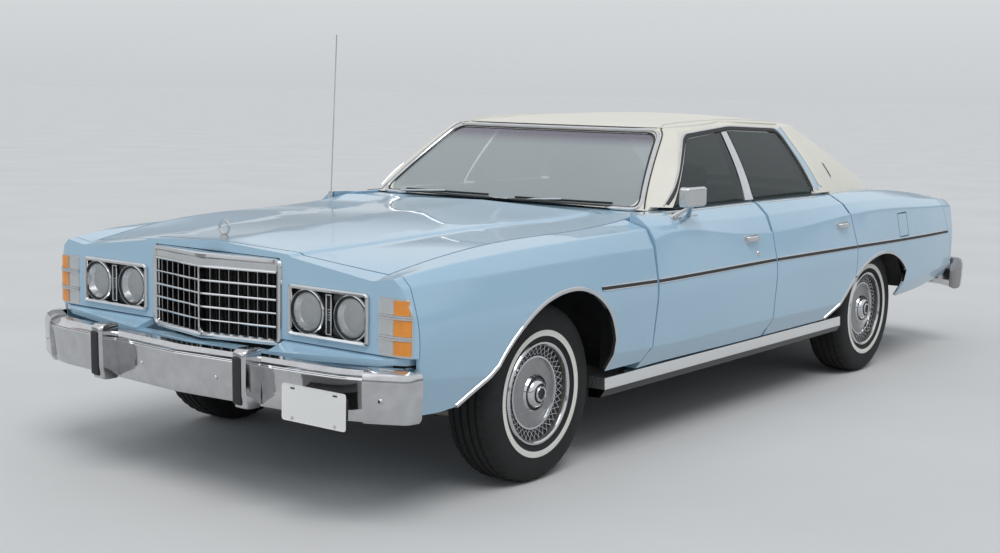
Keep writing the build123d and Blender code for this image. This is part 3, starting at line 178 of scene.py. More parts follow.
red_lens = surface("red_lens", (0.38, 0.01, 0.01), 0.16, vary=0.1, vary_scale=20, coat=0.8)
reflector = surface("reflector", (0.62, 0.63, 0.64), 0.20, metal=1.0, vary=0.03)
lens_clear = surface("lamp_glass", (0.72, 0.75, 0.76), 0.08, vary=0.04, vary_scale=30, coat=1.0,
                     alpha=0.26)
glass_side = surface("side_glass", (0.006, 0.018, 0.018), 0.03, vary=0.1, alpha=0.80,
                     rough_vary=0.01, specular=0.32)
mirror_glass = surface("mirror_glass", (0.75, 0.77, 0.8), 0.03, metal=1.0, vary=0.02,
                       rough_vary=0.01)


def grained_vinyl(name, colour):
    """Vinyl with a pebbled grain."""
    made, shader = principled(name)
    tree = made.node_tree
    tone = noise_value(tree, 2.2, 4.0)
    low = [c * 0.93 for c in colour]
    tree.links.new(ramp(tree, tone, [(0.3, low), (0.7, colour)]), shader.inputs["Base Color"])
    shader.inputs["Roughness"].default_value = 0.52
    cells = tree.nodes.new("ShaderNodeTexVoronoi")
    cells.inputs["Scale"].default_value = 420
    tree.links.new(object_place(tree), cells.inputs["Vector"])
    bump(tree, shader, cells.outputs["Distance"], 0.45, 0.0012)
    return made


vinyl = grained_vinyl("cream_vinyl", (0.80, 0.775, 0.69))
# A dark vinyl for the strip beside each roof seam: painted shade in the seam's groove.
vinyl_shade = grained_vinyl("vinyl_groove", (0.20, 0.19, 0.165))


def woven(name, colour, scale):
    """Cloth with a weave that runs along and across."""
    made, shader = principled(name)
    tree = made.node_tree
    tone = noise_value(tree, 9, 4.0)
    low = [c * 0.75 for c in colour]
    tree.links.new(ramp(tree, tone, [(0.35, low), (0.65, colour)]), shader.inputs["Base Color"])
    shader.inputs["Roughness"].default_value = 0.88
    shader.inputs["Sheen Weight"].default_value = 0.35
    coords = object_place(tree)
    heights = []
    for direction in ("X", "Y"):
        wave = tree.nodes.new("ShaderNodeTexWave")
        wave.bands_direction = direction
        wave.inputs["Scale"].default_value = scale
        tree.links.new(coords, wave.inputs["Vector"])
        heights.append(wave.outputs["Fac"])
    total = tree.nodes.new("ShaderNodeMath")
    total.operation = "MAXIMUM"
    tree.links.new(heights[0], total.inputs[0])
    tree.links.new(heights[1], total.inputs[1])
    bump(tree, shader, total.outputs[0], 0.5, 0.0012)
    return made


cloth = woven("seat_cloth", (0.10, 0.17, 0.25), 240)
cloth_light = woven("seat_insert", (0.15, 0.24, 0.33), 200)


def banded(name, axis, stops, rough, metal=0.0, coat=0.0, alphas=None, low=0.0, high=1.0):
    """A material whose colour follows bands along one of the car's axes."""
    made, shader = principled(name)
    tree = made.node_tree
    split = tree.nodes.new("ShaderNodeSeparateXYZ")
    tree.links.new(object_place(tree), split.inputs[0])
    place = tree.nodes.new("ShaderNodeMapRange")
    place.inputs["From Min"].default_value = low
    place.inputs["From Max"].default_value = high
    tree.links.new(split.outputs[axis], place.inputs["Value"])
    tree.links.new(ramp(tree, place.outputs["Result"], stops), shader.inputs["Base Color"])
    if alphas:
        tree.links.new(ramp(tree, place.outputs["Result"], alphas), shader.inputs["Alpha"])
    fine = noise_value(tree, 40, 3.0)
    tree.links.new(spread(tree, fine, rough * 0.8, rough * 1.2), shader.inputs["Roughness"])
    shader.inputs["Metallic"].default_value = metal
    shader.inputs["Coat Weight"].default_value = coat
    return made


def two_tone(low, high, begins, ends):
    """Stops of a ramp from one colour to another."""
    return [(0.0, low), (begins, low), (ends, high), (1.0, high)]


def grey(value):
    """A grey, or a plain value for a ramp."""
    return (value, value, value)


# The windshield's pale colour below the tint band is a painted reflection of the sky. The darker band
# at the top is the glass's own tint.
PAINTED_SKY_REFLECTION = (0.47, 0.53, 0.54)
TINT = (0.13, 0.115, 0.16)
glass_front = banded("windshield_glass", "Z", two_tone(PAINTED_SKY_REFLECTION, TINT, 0.78, 0.92), 0.03, coat=1.0,
                     alphas=two_tone(grey(0.50), grey(0.8), 0.78, 0.92), low=1.0, high=1.32)
glass_back = surface("backlight_glass", (0.04, 0.06, 0.065), 0.03, vary=0.1, coat=1.0, alpha=0.45,
                     rough_vary=0.01)
rocker_finish = banded("rocker_trim", "Z", two_tone(grey(0.02), grey(0.78), 0.42, 0.46), 0.16,
                       metal=0.9, low=0.268, high=0.354)

finishes = {
    "body_paint": paint, "under_paint": under_black, "vinyl": vinyl, "clear_glass": glass_side,
    "chrome": chrome, "bright_wheel": brushed, "tyre": tyre_rubber, "iron": iron,
    "steel": dull_steel, "cloth": cloth, "trim_plastic": dash_blue, "lamp_clear": lens_clear,
    "lamp_red": red_lens,
}
own_finish = {
    "windshield": glass_front, "rear_window": glass_back, "rocker_sills": rocker_finish,
    "front_bumper": bumper_chrome, "rear_bumper": bumper_chrome, "corner_lamps": reflector,
    "steering_wheel": wheel_rim_dark, "side_posts": chrome,
}


def angle_group():
    """Smooth shading across edges under an angle, as a modifier's group."""
    group = bpy.data.node_groups.new("smooth_under_angle", "GeometryNodeTree")
    group.interface.new_socket("Geometry", in_out="INPUT", socket_type="NodeSocketGeometry")
    group.interface.new_socket("Geometry", in_out="OUTPUT", socket_type="NodeSocketGeometry")
    enter = group.nodes.new("NodeGroupInput")
    leave = group.nodes.new("NodeGroupOutput")
    angle = group.nodes.new("GeometryNodeInputMeshEdgeAngle")
    test = group.nodes.new("FunctionNodeCompare")
    test.operation = "GREATER_THAN"
    test.inputs[1].default_value = math.radians(SMOOTH_DEGREES)
    group.links.new(angle.outputs[0], test.inputs[0])
    faces = group.nodes.new("GeometryNodeSetShadeSmooth")
    faces.domain = "FACE"
    faces.inputs["Shade Smooth"].default_value = True
    edges = group.nodes.new("GeometryNodeSetShadeSmooth")
    edges.domain = "EDGE"
    edges.inputs["Shade Smooth"].default_value = False
    group.links.new(enter.outputs[0], faces.inputs[0])
    group.links.new(faces.outputs[0], edges.inputs[0])
    group.links.new(test.outputs[0], edges.inputs["Selection"])
    group.links.new(edges.outputs[0], leave.inputs[0])
    return group


smooth_group = angle_group()
slot_of = {part["node"]: part["material_slot"] for part in frame["record"]["subparts"]}
for name, node in nodes.items():
    if "custom_normal" in node.data.attributes:
        node.data.attributes.remove(node.data.attributes["custom_normal"])
    weld = node.modifiers.new("weld", "WELD")
    weld.merge_threshold = NODE_WELD
    node.modifiers.new("smooth", "NODES").node_group = smooth_group
    node.data.materials.clear()
    node.data.materials.append(own_finish.get(name) or finishes[slot_of[name]])


slot_by_material = {
    chrome: "chrome", bumper_chrome: "chrome", brushed: "chrome", lamp_housing: "chrome",
    reflector: "chrome", plate_white: "chrome", mirror_glass: "chrome", black_rubber: "tyre",
    lens_clear: "lamp_clear", amber: "lamp_clear", paint: "body_paint", under_black: "under_paint",
    vinyl: "vinyl", vinyl_shade: "vinyl", cloth: "cloth", cloth_light: "cloth", carpet: "cloth",
}


# Shapes
def piece(name, verts, faces, materials, body="body", slot=None, face_materials=None, bevel=0.0):
    """A mesh that rides on a body. Its slot, given or that of its first material, is looked up but
    not kept.
    """
    materials = materials if isinstance(materials, (list, tuple)) else [materials]
    mesh = bpy.data.meshes.new(name)
    mesh.from_pydata([tuple(v) for v in verts], [], faces)
    made = bpy.data.objects.new(name, mesh)
    scene.collection.objects.link(made)
    for material in materials:
        mesh.materials.append(material)
    if face_materials:
        for polygon, index in zip(mesh.polygons, face_materials):
            polygon.material_index = index
    tidy = bmesh.new()
    tidy.from_mesh(mesh)
    bmesh.ops.remove_doubles(tidy, verts=tidy.verts, dist=PIECE_WELD)
    bmesh.ops.recalc_face_normals(tidy, faces=tidy.faces)
    tidy.to_mesh(mesh)
    tidy.free()
    if bevel:
        edge = made.modifiers.new("bevel", "BEVEL")
        edge.width = bevel
        edge.segments = 2
        edge.limit_method = "ANGLE"
    made.modifiers.new("smooth", "NODES").node_group = smooth_group
    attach(made, body)
    slot or slot_by_material[materials[0]]
    return made


def loft_rings(rings, closed_path=False, caps=True):
    """Vertices and faces of a skin over rings of equal length."""
    count = len(rings[0])
    verts = [point for ring in rings for point in ring]
    faces = []
    total = len(rings)
    for i in range(total if closed_path else total - 1):
        for j in range(count):
            k = (j + 1) % count
            a, b = i * count, ((i + 1) % total) * count
            faces.append((a + j, a + k, b + k, b + j))
    if caps and not closed_path:
        faces.append(tuple(range(count))[::-1])
        faces.append(tuple((total - 1) * count + j for j in range(count)))
    return verts, faces


def lofted(name, rings, material, body="body", bevel=0.0):
    """A piece skinned over rings."""
    return piece(name, *loft_rings(rings), material, body, bevel=bevel)


def gathered(name, groups, material, body="body", bevel=0.0):
    """A piece of several closed forms."""
    return piece(name, *gather(groups), material, body, bevel=bevel)


def sweep(name, path, profile, material, body="body", closed=False):
    """A closed profile carried along a path of (place, across, out) frames."""
    rings = [[at + across * u + out * v for u, v in profile] for at, across, out in path]
    return piece(name, *loft_rings(rings, closed), material, body)


def rounded(points, radius, closed=False, step=0.03):
    """Points along a line with rounded corners."""
    pts = [Vector(p) for p in points]
    count = len(pts)
    out = []
    for i, p in enumerate(pts):
        if not closed and i in (0, count - 1):
            out.append(p)
            continue
        before = pts[i - 1] - p
        after = pts[(i + 1) % count] - p
        reach = min(radius, before.length * 0.45, after.length * 0.45)
        if reach < 1e-5:
            out.append(p)
            continue
        start = p + before.normalized() * reach
        end = p + after.normalized() * reach
        for t in (0.0, 0.2, 0.4, 0.6, 0.8, 1.0):
            out.append(start * (1 - t) ** 2 + p * 2 * t * (1 - t) + end * t * t)
    if closed:
        out.append(out[0])
    fine = [out[0]]
    for a, b in zip(out, out[1:]):
        parts = max(1, math.ceil((b - a).length / step))
        fine += [a.lerp(b, k / parts) for k in range(1, parts + 1)]
    if closed:
        fine.pop()
    return fine


def tree_of(*names):
    """A search tree over some nodes' surfaces."""
    verts = []
    faces = []
    for name in names:
        mesh = nodes[name].data
        base = len(verts)
        verts += [v.co.copy() for v in mesh.vertices]
        faces += [tuple(base + v for v in p.vertices) for p in mesh.polygons]
    return BVHTree.FromPolygons(verts, faces)


def caster(tree, view):
    """A function from two coordinates to a place and normal, seen from 'left', 'right', ..."""
    looks = {
        "left": (lambda u, v: (Vector((u, 2, v)), Vector((0, -1, 0)))),
        "right": (lambda u, v: (Vector((u, -2, v)), Vector((0, 1, 0)))),
        "front": (lambda u, v: (Vector((4, u, v)), Vector((-1, 0, 0)))),
        "rear": (lambda u, v: (Vector((-4, u, v)), Vector((1, 0, 0)))),
        "top": (lambda u, v: (Vector((u, v, 3)), Vector((0, 0, -1)))),
    }

    def hit(u, v):
        start, direction = looks[view](u, v)
        place, normal, _, _ = tree.ray_cast(start, direction)
        if place is None:
            return None
        if normal.dot(direction) > 0:
            normal = -normal
        return place, normal

    return hit


def on_surface(points, hit, closed=False):
    """Frames along two-coordinate points laid on a surface, with a smoothed normal."""
    found = [hit(p[0], p[1]) for p in points]
    found = [f for f in found if f]
    count = len(found)
    frames = []
    for i, (place, normal) in enumerate(found):
        before = found[i - 1][0] if (closed or i) else place
        after = found[(i + 1) % count][0] if (closed or i < count - 1) else place
        near = [found[(i + k) % count][1] if closed else found[min(max(i + k, 0), count - 1)][1]
                for k in (-1, 0, 1)]
        out = (near[0] + near[1] * 2 + near[2]).normalized()
        along = (after - before).normalized()
        across = out.cross(along).normalized()
        frames.append((place, across, out))
    return frames


def trim_profile(half, proud):
    """A low rounded strip, sunk a little in what it lies on."""
    return [(-half, -STRIP_SUNK), (-half, proud * 0.35), (-half * 0.6, proud * 0.9), (0, proud),
            (half * 0.6, proud * 0.9), (half, proud * 0.35), (half, -STRIP_SUNK)]


def strip(name, points, hit, half, proud, material, body="body", radius=0.0, closed=False):
    """A trim strip laid on a surface."""
    path = on_surface(rounded(points, radius, closed), hit, closed)
    return sweep(name, path, trim_profile(half, proud), material, body, closed)


def turned(name, profile, centre, side, materials, marks, body, slot=None, segments=96, tread=()):
    """A ring turned about the car's cross axis, from (radius, outward) points."""
    rings = []
    for i in range(segments):
        angle = 2 * math.pi * i / segments
        ring = []
        for j, (radius, out) in enumerate(profile):
            r = radius
            if j in tread and i % 3 == 0:
                r -= TREAD_CUT
            z = centre[2] + r * math.cos(angle)
            ring.append(Vector((centre[0] + r * math.sin(angle), centre[1] + side * out,
                                max(z, 0.0))))
        rings.append(ring)
    verts, faces = loft_rings(rings, closed_path=True)
    count = len(profile)
    face_marks = [marks[i % count] for i in range(len(faces))]
    return piece(name, verts, faces, materials, body, slot, face_marks)


def box_verts(low, high):
    """Corners and faces of a box."""
    x0, y0, z0 = low
    x1, y1, z1 = high
    verts = [Vector(p) for p in ((x0, y0, z0), (x1, y0, z0), (x1, y1, z0), (x0, y1, z0),
                                 (x0, y0, z1), (x1, y0, z1), (x1, y1, z1), (x0, y1, z1))]
    faces = [(0, 3, 2, 1), (4, 5, 6, 7), (0, 1, 5, 4), (1, 2, 6, 5), (2, 3, 7, 6), (3, 0, 4, 7)]
    return verts, faces


def gather(groups):
    """One set of vertices and faces from several."""
    verts = []
    faces = []
    for group_verts, group_faces in groups:
        base = len(verts)
        verts += group_verts
        faces += [tuple(base + i for i in face) for face in group_faces]
    return verts, faces


sides = (("left", 1), ("right", -1))

# Wheels and tyres. Radius, distance outward, and the finish: chrome, dark, brushed or dull
cover_profile = [
    (0.0, 0.100, 1), (0.020, 0.100, 1), (0.022, 0.104, 0), (0.028, 0.106, 0), (0.031, 0.102, 1),
    (0.037, 0.096, 1), (0.039, 0.098, 0), (0.047, 0.095, 0), (0.056, 0.084, 0), (0.058, 0.078, 1),
    (0.065, 0.075, 1), (0.068, 0.079, 0), (0.074, 0.070, 2), (0.100, 0.067, 2), (0.134, 0.062, 0),
    (0.137, 0.070, 0), (0.144, 0.070, 0), (0.147, 0.060, 1), (0.170, 0.062, 1), (0.185, 0.068, 0),
    (0.188, 0.092, 0), (0.193, 0.097, 0), (0.200, 0.096, 0), (0.204, 0.091, 3), (0.202, 0.0863, 3),
    (0.1859, 0.0863, 3), (0.1859, -0.0863, 3), (0.198, -0.0863, 3), (0.198, -0.092, 3),
    (0.174, -0.092, 3), (0.174, 0.044, 3), (0.062, 0.044, 3), (0.062, -0.048, 3),
    (0.0325, -0.048, 3), (0.0325, 0.076, 3), (0.0, 0.076, 3),
]
tread_half = [
    (0.292, 0.103), (0.318, 0.098), (0.334, 0.089), (0.342, 0.080), (0.347, 0.068), (0.350, 0.058),
    (0.341, 0.055), (0.341, 0.049), (0.350, 0.046), (0.350, 0.024), (0.341, 0.021), (0.341, 0.015),
    (0.350, 0.012),
]
inner_wall = [(0.186, -0.086), (0.200, -0.086), (0.210, -0.090), (0.230, -0.099), (0.262, -0.1036)]
outer_wall = [(0.262, 0.1034), (0.250, 0.1028), (0.248, 0.1036), (0.225, 0.1014), (0.223, 0.0985),
              (0.210, 0.092), (0.204, 0.0905), (0.202, 0.086), (0.186, 0.086)]
tyre_profile = inner_wall + [(r, -out) for r, out in tread_half] + tread_half[::-1] + outer_wall
BAND_EDGE = (0.248, 0.1036)
tyre_marks = [int(point == BAND_EDGE) for point in tyre_profile]
tread_points = {8, 9, 10, 25, 26, 27}
TREAD_CUT = 0.006
LATTICE_BARS = 40
LATTICE_LEAN = 1.2
BAR_HALF = 0.0013
BAR_DEEP = 0.004
FRONT_TRACK = 1.628
REAR_TRACK = 1.633
for place, axle, track in (("front", FRONT_AXLE, FRONT_TRACK), ("rear", REAR_AXLE, REAR_TRACK)):
    for name, s in sides:
        centre = (axle, s * track / 2, HUB_Z)
        body = f"wheel_{place}_{name}"
        cover = turned(
            f"cover_{place}_{name}", [p[:2] for p in cover_profile], centre, s,
            [chrome, dark_metal, brushed, dull_steel], [p[2] for p in cover_profile], body,
            "bright_wheel",
        )
        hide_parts(body)
        tyre = turned(
            f"tread_{place}_{name}", tyre_profile, centre, s, [tyre_rubber, whitewall], tyre_marks,
            body, "tyre", 144, tread_points,
        )
        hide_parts(f"tyre_{place}_{name}")
        bars = []
        for i in range(LATTICE_BARS):
            for lean in (-1, 1):
                start = 2 * math.pi * i / LATTICE_BARS
                end = start + lean * 2 * math.pi * LATTICE_LEAN / LATTICE_BARS
                inner = Vector((math.sin(start), 0, math.cos(start)))
                outer = Vector((math.sin(end), 0, math.cos(end)))
                across = Vector((math.cos((start + end) / 2), 0, -math.sin((start + end) / 2)))
                ring = []
                for reach, unit, out in ((0.1475, inner, 0.0660), (0.1865, outer, 0.0760)):
                    middle = Vector(centre) + unit * reach + Vector((0, s * out, 0))
                    half = across * BAR_HALF
                    deep = Vector((0, s * BAR_DEEP, 0))
                    ring.append([middle - half, middle + half, middle + half - deep,
                                 middle - half - deep])
                bars.append(loft_rings(ring))
        gathered(f"lattice_{place}_{name}", bars, chrome, body)

# Side surfaces
side_hit = {
    name: caster(tree_of("front_fenders", f"door_front_{name}", f"door_rear_{name}",
                         "quarter_panels", "tail_panel"), name)
    for name, _ in sides
}
roof_tree = tree_of("roof")
roof_hit = {view: caster(roof_tree, view) for view in ("left", "right", "front", "rear", "top")}


def along(points, x):
    """A level between listed places along the car."""
    for (xa, za), (xb, zb) in zip(points, points[1:]):
        if xb <= x <= xa:
            return za + (zb - za) * (xa - x) / (xa - xb)
    return points[0][1] if x > points[0][0] else points[-1][1]


moulding_line = [(1.479, 0.737), (1.075, 0.729), (-0.005, 0.731), (-0.955, 0.726),
                 (-2.375, 0.710)]
moulding_parts = (  # title, from, to, body
    ("fender", 1.479, 1.068, "body"), ("front_door", 1.052, -0.022, "door_front_"),
    ("rear_door", -0.040, -0.946, "door_rear_"), ("quarter", -0.961, -2.372, "body"),
)
insert_profile = [(-0.0065, -0.001), (-0.0065, 0.0022), (-0.004, 0.0034), (0.004, 0.0034),
                  (0.0065, 0.0022), (0.0065, -0.001)]
chrome_profile = [(0.0065, -0.001), (0.0065, 0.0030), (0.0085, 0.0034), (0.0105, 0.0022),
                  (0.0105, -0.001)]
chrome_low = [(-u, v) for u, v in chrome_profile]
for name, _ in sides:
    for part, x_from, x_to, body in moulding_parts:
        body = body + name if body.startswith("door") else body
        line = [(x, along(moulding_line, x)) for x in (x_from, (x_from + x_to) / 2, x_to)]
        path = on_surface(rounded(line, 0, False, 0.06), side_hit[name])
        sweep(f"moulding_{part}_{name}", path, insert_profile, black_rubber, body)
        sweep(f"moulding_top_{part}_{name}", path, chrome_profile, chrome, body)
        sweep(f"moulding_low_{part}_{name}", path, chrome_low, chrome, body)


# Wheel arch lips
def arc_from_crown(crown, end, count=22):
    """Points from the crown down an arc that leaves it level."""
    dx, dz = end[0] - crown[0], end[1] - crown[1]
    radius = (dx * dx + dz * dz) / (-2 * dz)
    turn = math.atan2(abs(dx), radius + dz)
    sign = 1 if dx > 0 else -1
    return [(crown[0] + sign * radius * math.sin(turn * k / count),
             crown[1] - radius * (1 - math.cos(turn * k / count))) for k in range(count + 1)]


# Axle, then the crown and the points at the front, its foot, the rear and its foot, from the axle
arch_sets = {
    "front": (FRONT_AXLE, (-0.094, 0.750), (0.372, 0.518), (0.556, 0.392), (-0.385, 0.520),
              (-0.365, 0.372)),
    "rear": (REAR_AXLE, (0.013, 0.665), (0.415, 0.525), (0.625, 0.366), (-0.350, 0.540),
             (-0.290, 0.385)),
}
lip_profile = [(-0.004, -0.012), (-0.004, 0.003), (0.0, 0.005), (0.009, 0.0035), (0.013, -0.002)]
LIP_INSIDE = 0.011
LIP_STEP = 0.016
DOOR_CUT = REAR_AXLE + 0.367
DOOR_GAP = 0.006
for place, (axle, crown, front, front_low, rear, rear_low) in arch_sets.items():
    fore = arc_from_crown(crown, front)
    aft = arc_from_crown(crown, rear)
    corners = [front_low] + fore[::-1] + aft[1:] + [rear_low]
    corners = [Vector((axle + x, z)) for x, z in corners]
    line = [corners[0]]
    for a, b in zip(corners, corners[1:]):
        steps = max(1, math.ceil((b - a).length / LIP_STEP))
        line += [a.lerp(b, k / steps) for k in range(1, steps + 1)]
    middle = Vector((axle, HUB_Z))
    for name, s in sides:
        door_edge = DOOR_CUT if place == "rear" else math.inf
        spans = ([p for p in line if p.x > door_edge + DOOR_GAP],
                 [p for p in line if p.x < door_edge - DOOR_GAP])
        for index, span in enumerate(spans):
            if len(span) < 3:
                continue
            frames = []
            for i, p in enumerate(span):
                before = span[max(i - 1, 0)]
                after = span[min(i + 1, len(span) - 1)]
                tangent = (after - before).normalized()
                away = Vector((-tangent.y, tangent.x))
                if away.dot(p - middle) < 0:
                    away = -away
                found = side_hit[name](p.x + away.x * LIP_INSIDE, p.y + away.y * LIP_INSIDE)
                if not found:
                    continue
                place_y = found[0].y
                frames.append((Vector((p.x, place_y, p.y)), Vector((away.x, 0, away.y)),
                               Vector((0, s, 0))))
            body = f"door_rear_{name}" if (place == "rear" and index == 0) else "body"
            sweep(f"arch_lip_{place}_{index}_{name}", frames, lip_profile, chrome, body)

# Door handles, locks and belt mouldings
HANDLE_Z = 0.845
BELT_Z = 0.992
handle_places = (("front", 0.191, "door_front_"), ("rear", -0.802, "door_rear_"))
for name, s in sides:
    for place, x, body in handle_places:
        y = side_hit[name](x, HANDLE_Z)[0].y
        groups = []
        plate = []
        for xx, half in ((x + 0.070, 0.013), (x + 0.062, 0.0165), (x - 0.055, 0.0165),
                         (x - 0.066, 0.011)):
            plate.append([Vector((xx, y - s * 0.006, HANDLE_Z - half)),
                          Vector((xx, y + s * 0.006, HANDLE_Z - half)),
                          Vector((xx, y + s * 0.004, HANDLE_Z + half)),
                          Vector((xx, y - s * 0.012, HANDLE_Z + half))])
        groups.append(loft_rings(plate))
        bar = []
        for xx, out, half in ((x + 0.060, 0.004, 0.010), (x + 0.055, 0.022, 0.013),
                              (x + 0.020, 0.030, 0.0135), (x - 0.030, 0.028, 0.012),
                              (x - 0.062, 0.012, 0.006)):
            bar.append([Vector((xx, y + s * (out - 0.010), HANDLE_Z + 0.001 - half)),
                        Vector((xx, y + s * out, HANDLE_Z + 0.001 - half * 0.7)),
                        Vector((xx, y + s * out, HANDLE_Z + 0.001 + half * 0.6)),
                        Vector((xx, y + s * (out - 0.008), HANDLE_Z + 0.001 + half))])
        groups.append(loft_rings(bar))
        gathered(f"handle_{place}_{name}", groups, chrome, body + name, bevel=0.002)
    lock_at = side_hit[name](0.150, 0.775)[0]
    turned(f"lock_{name}", [(0.0, 0.004), (0.004, 0.004), (0.006, 0.006), (0.011, 0.006),
                            (0.013, 0.003), (0.013, -0.004), (0.0, -0.004)], lock_at, s,
           [chrome, dark_metal], [1, 0, 0, 0, 0, 0, 0], f"door_front_{name}",
           segments=24)
    for part, x_from, x_to, body in (("front", 0.800, -0.040, f"door_front_{name}"),
                                     ("rear", -0.056, -0.705, f"door_rear_{name}")):
        strip(f"belt_{part}_{name}", [(x_from, BELT_Z), (x_to, BELT_Z)], side_hit[name], 0.007,
              0.004, chrome, body)

# Window frames, drip rails, windshield and backlight surrounds
side_frame = [(F - 1.022, 1.014), (F - 1.414, 1.316), (F - 1.900, 1.350), (F - 2.410, 1.334),
              (F - 2.474, 1.032), (F - 2.468, 1.014)]
side_gasket = [(F - 1.036, 1.020), (F - 1.426, 1.306), (F - 1.900, 1.340), (F - 2.400, 1.324),
               (F - 2.462, 1.034), (F - 2.456, 1.020)]
drip_line = [(F - 1.392, 1.340), (F - 1.900, 1.368), (F - 2.430, 1.354)]
sail_strip = [(F - 2.432, 1.336), (F - 2.520, 1.052), (F - 2.514, 1.024)]
sail_edge = [(F - 2.454, 1.340), (F - 2.545, 1.048), (F - 2.575, 1.036)]
side_strips = (  # title, line, half width, height, material, corner radius
    ("window_gasket", side_gasket, 0.009, 0.003, black_rubber, 0.05),
    ("window_frame", side_frame, 0.005, 0.006, chrome, 0.05),
    ("sail_strip", sail_strip, 0.020, 0.0025, paint, 0.03),
    ("sail_trim", sail_edge, 0.003, 0.004, chrome, 0.02),
    ("drip_rail", drip_line, 0.004, 0.008, vinyl, 0.0),
)
for name, _ in sides:
    for title, line, half, proud, material, radius in side_strips:
        strip(f"{title}_{name}", line, roof_hit[name], half, proud, material, radius=radius)
screen_frame = [(-0.754, 0.996), (0.754, 0.996), (0.596, 1.330), (-0.596, 1.330)]
screen_gasket = [(-0.741, 1.003), (0.741, 1.003), (0.585, 1.320), (-0.585, 1.320)]
screen_edge = [(-0.767, 1.000), (-0.608, 1.341), (0.608, 1.341), (0.767, 1.000)]
rear_frame = [(-0.728, 1.008), (0.728, 1.008), (0.562, 1.350), (-0.562, 1.350)]
rear_gasket = [(-0.716, 1.014), (0.716, 1.014), (0.552, 1.340), (-0.552, 1.340)]
screen_strips = (  # title, line, seen from, half width, height, material, corner radius, closed
    ("windshield_gasket", screen_gasket, "front", 0.005, 0.003, black_rubber, 0.05, True),
    ("windshield_frame", screen_frame, "front", 0.009, 0.008, chrome, 0.05, True),
    ("windshield_edge", screen_edge, "front", 0.0035, 0.003, black_rubber, 0.05, False),
    ("backlight_gasket", rear_gasket, "rear", 0.005, 0.003, black_rubber, 0.06, True),
    ("backlight_frame", rear_frame, "rear", 0.009, 0.006, chrome, 0.06, True),
)
for title, line, seen_from, half, proud, material, radius, closed in screen_strips:
    strip(title, line, roof_hit[seen_from], half, proud, material, radius=radius, closed=closed)
seam_line = [(0.330, 0.56), (0.240, 0.50), (-0.100, 0.515), (-0.700, 0.515), (-0.960, 0.48)]
# The thin dark strip beside each roof seam is painted shade in its groove.
GROOVE_BESIDE = 0.007
for name, s in sides:
    for title, beside, half, proud, material in (
        ("roof_seam", 0.0, 0.0045, 0.0035, vinyl),
        ("roof_groove", GROOVE_BESIDE, 0.0012, 0.0006, vinyl_shade),
    ):
        strip(f"{title}_{name}", [(x, s * (y + beside)) for x, y in seam_line], roof_hit["top"],
              half, proud, material, radius=0.1)

# Cowl panel between the hood and the windshield
hood_hit = caster(tree_of("hood"), "top")
hood_edge = [(0.0, 0.962), (0.74, 0.962), (0.78, 0.984), (0.832, 0.997)]
screen_foot = [(0.0, 0.850), (0.768, 0.818), (0.832, 0.812)]


def between(points, at):
    """A value between listed places."""
    for (a, va), (b, vb) in zip(points, points[1:]):
        if a <= at <= b:
            return va + (vb - va) * (at - a) / (b - a)
    return points[-1][1]


cowl_hit = caster(tree_of("floor_pan", "front_fenders"), "top")
COWL_HALF = 0.832
COWL_TOP = 0.986
COWL_STEPS = 32
SHUT_LINE = 0.004
cowl_rings = []
for k in range(-COWL_STEPS, COWL_STEPS + 1):
    y = COWL_HALF * k / COWL_STEPS
    x_front = between(hood_edge, abs(y)) - SHUT_LINE
    x_rear = between(screen_foot, abs(y)) - 0.020
    edge = hood_hit(x_front + 0.012, y)
    z_front = (edge[0].z if edge else 0.975) - 0.003
    top = []
    for step in range(9):
        part = step / 8
        x = x_rear + (x_front - x_rear) * part
        z = COWL_TOP + (z_front - COWL_TOP) * part
        under = cowl_hit(x, y)
        if under and under[0].z > 0.9:
            z = max(z, under[0].z + 0.002)
        top.append(Vector((x, y, z)))
    top.append(top[-1] + Vector((0.001, 0, -0.022)))
    under_side = [p + Vector((-0.0015, 0, -0.0015)) for p in top[::-1]]
    cowl_rings.append(top + under_side)
lofted("cowl_panel", cowl_rings, paint)

# Grille
GRILLE_HALF = 0.352
BARS_HALF = 0.330
GRILLE_COLUMNS = 8
GRILLE_ROWS = 5


def prow(y, back=0.0):
    """How far forward the grille's face is at a distance from the centre."""
    return 2.667 - 0.074 * min(abs(y), GRILLE_HALF) / GRILLE_HALF - back


def flat_frames(points, forward):
    """Frames along a closed outline across the car, with its distance forward at each y."""
    frames = []
    for i, p in enumerate(points):
        tangent = (points[(i + 1) % len(points)] - points[i - 1]).normalized()
        frames.append((Vector((forward(p.x), p.x, p.y)), Vector((0, -tangent.y, tangent.x)),
                       Vector((1, 0, 0))))
    return frames


shell_points = rounded([(-0.346, 0.574), (0.346, 0.574), (0.346, 0.882), (-0.346, 0.882)], 0.03,
                       True, 0.04)
grille_shell = sweep("grille_shell", flat_frames(shell_points, lambda y: prow(y, 0.012)),
                     [(-0.006, -0.050), (-0.006, 0.000), (-0.002, 0.008), (0.008, 0.010),
                      (0.014, 0.004), (0.020, -0.004), (0.020, -0.050)],
                     chrome, closed=True)
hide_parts("grille")


def bar_across(name, z_low, z_high, back, deep, crest):
    """A bar that follows the prow from side to side."""
    rings = []
    for y in (BARS_HALF * share for share in (-1, -0.5, 0, 0.5, 1)):
        x = prow(y, back)
        rings.append([Vector((x - deep, y, z_low)), Vector((x, y, z_low)),
                      Vector((x + crest, y, (z_low + z_high) / 2)), Vector((x, y, z_high)),
                      Vector((x - deep, y, z_high))])
    lofted(name, rings, chrome)


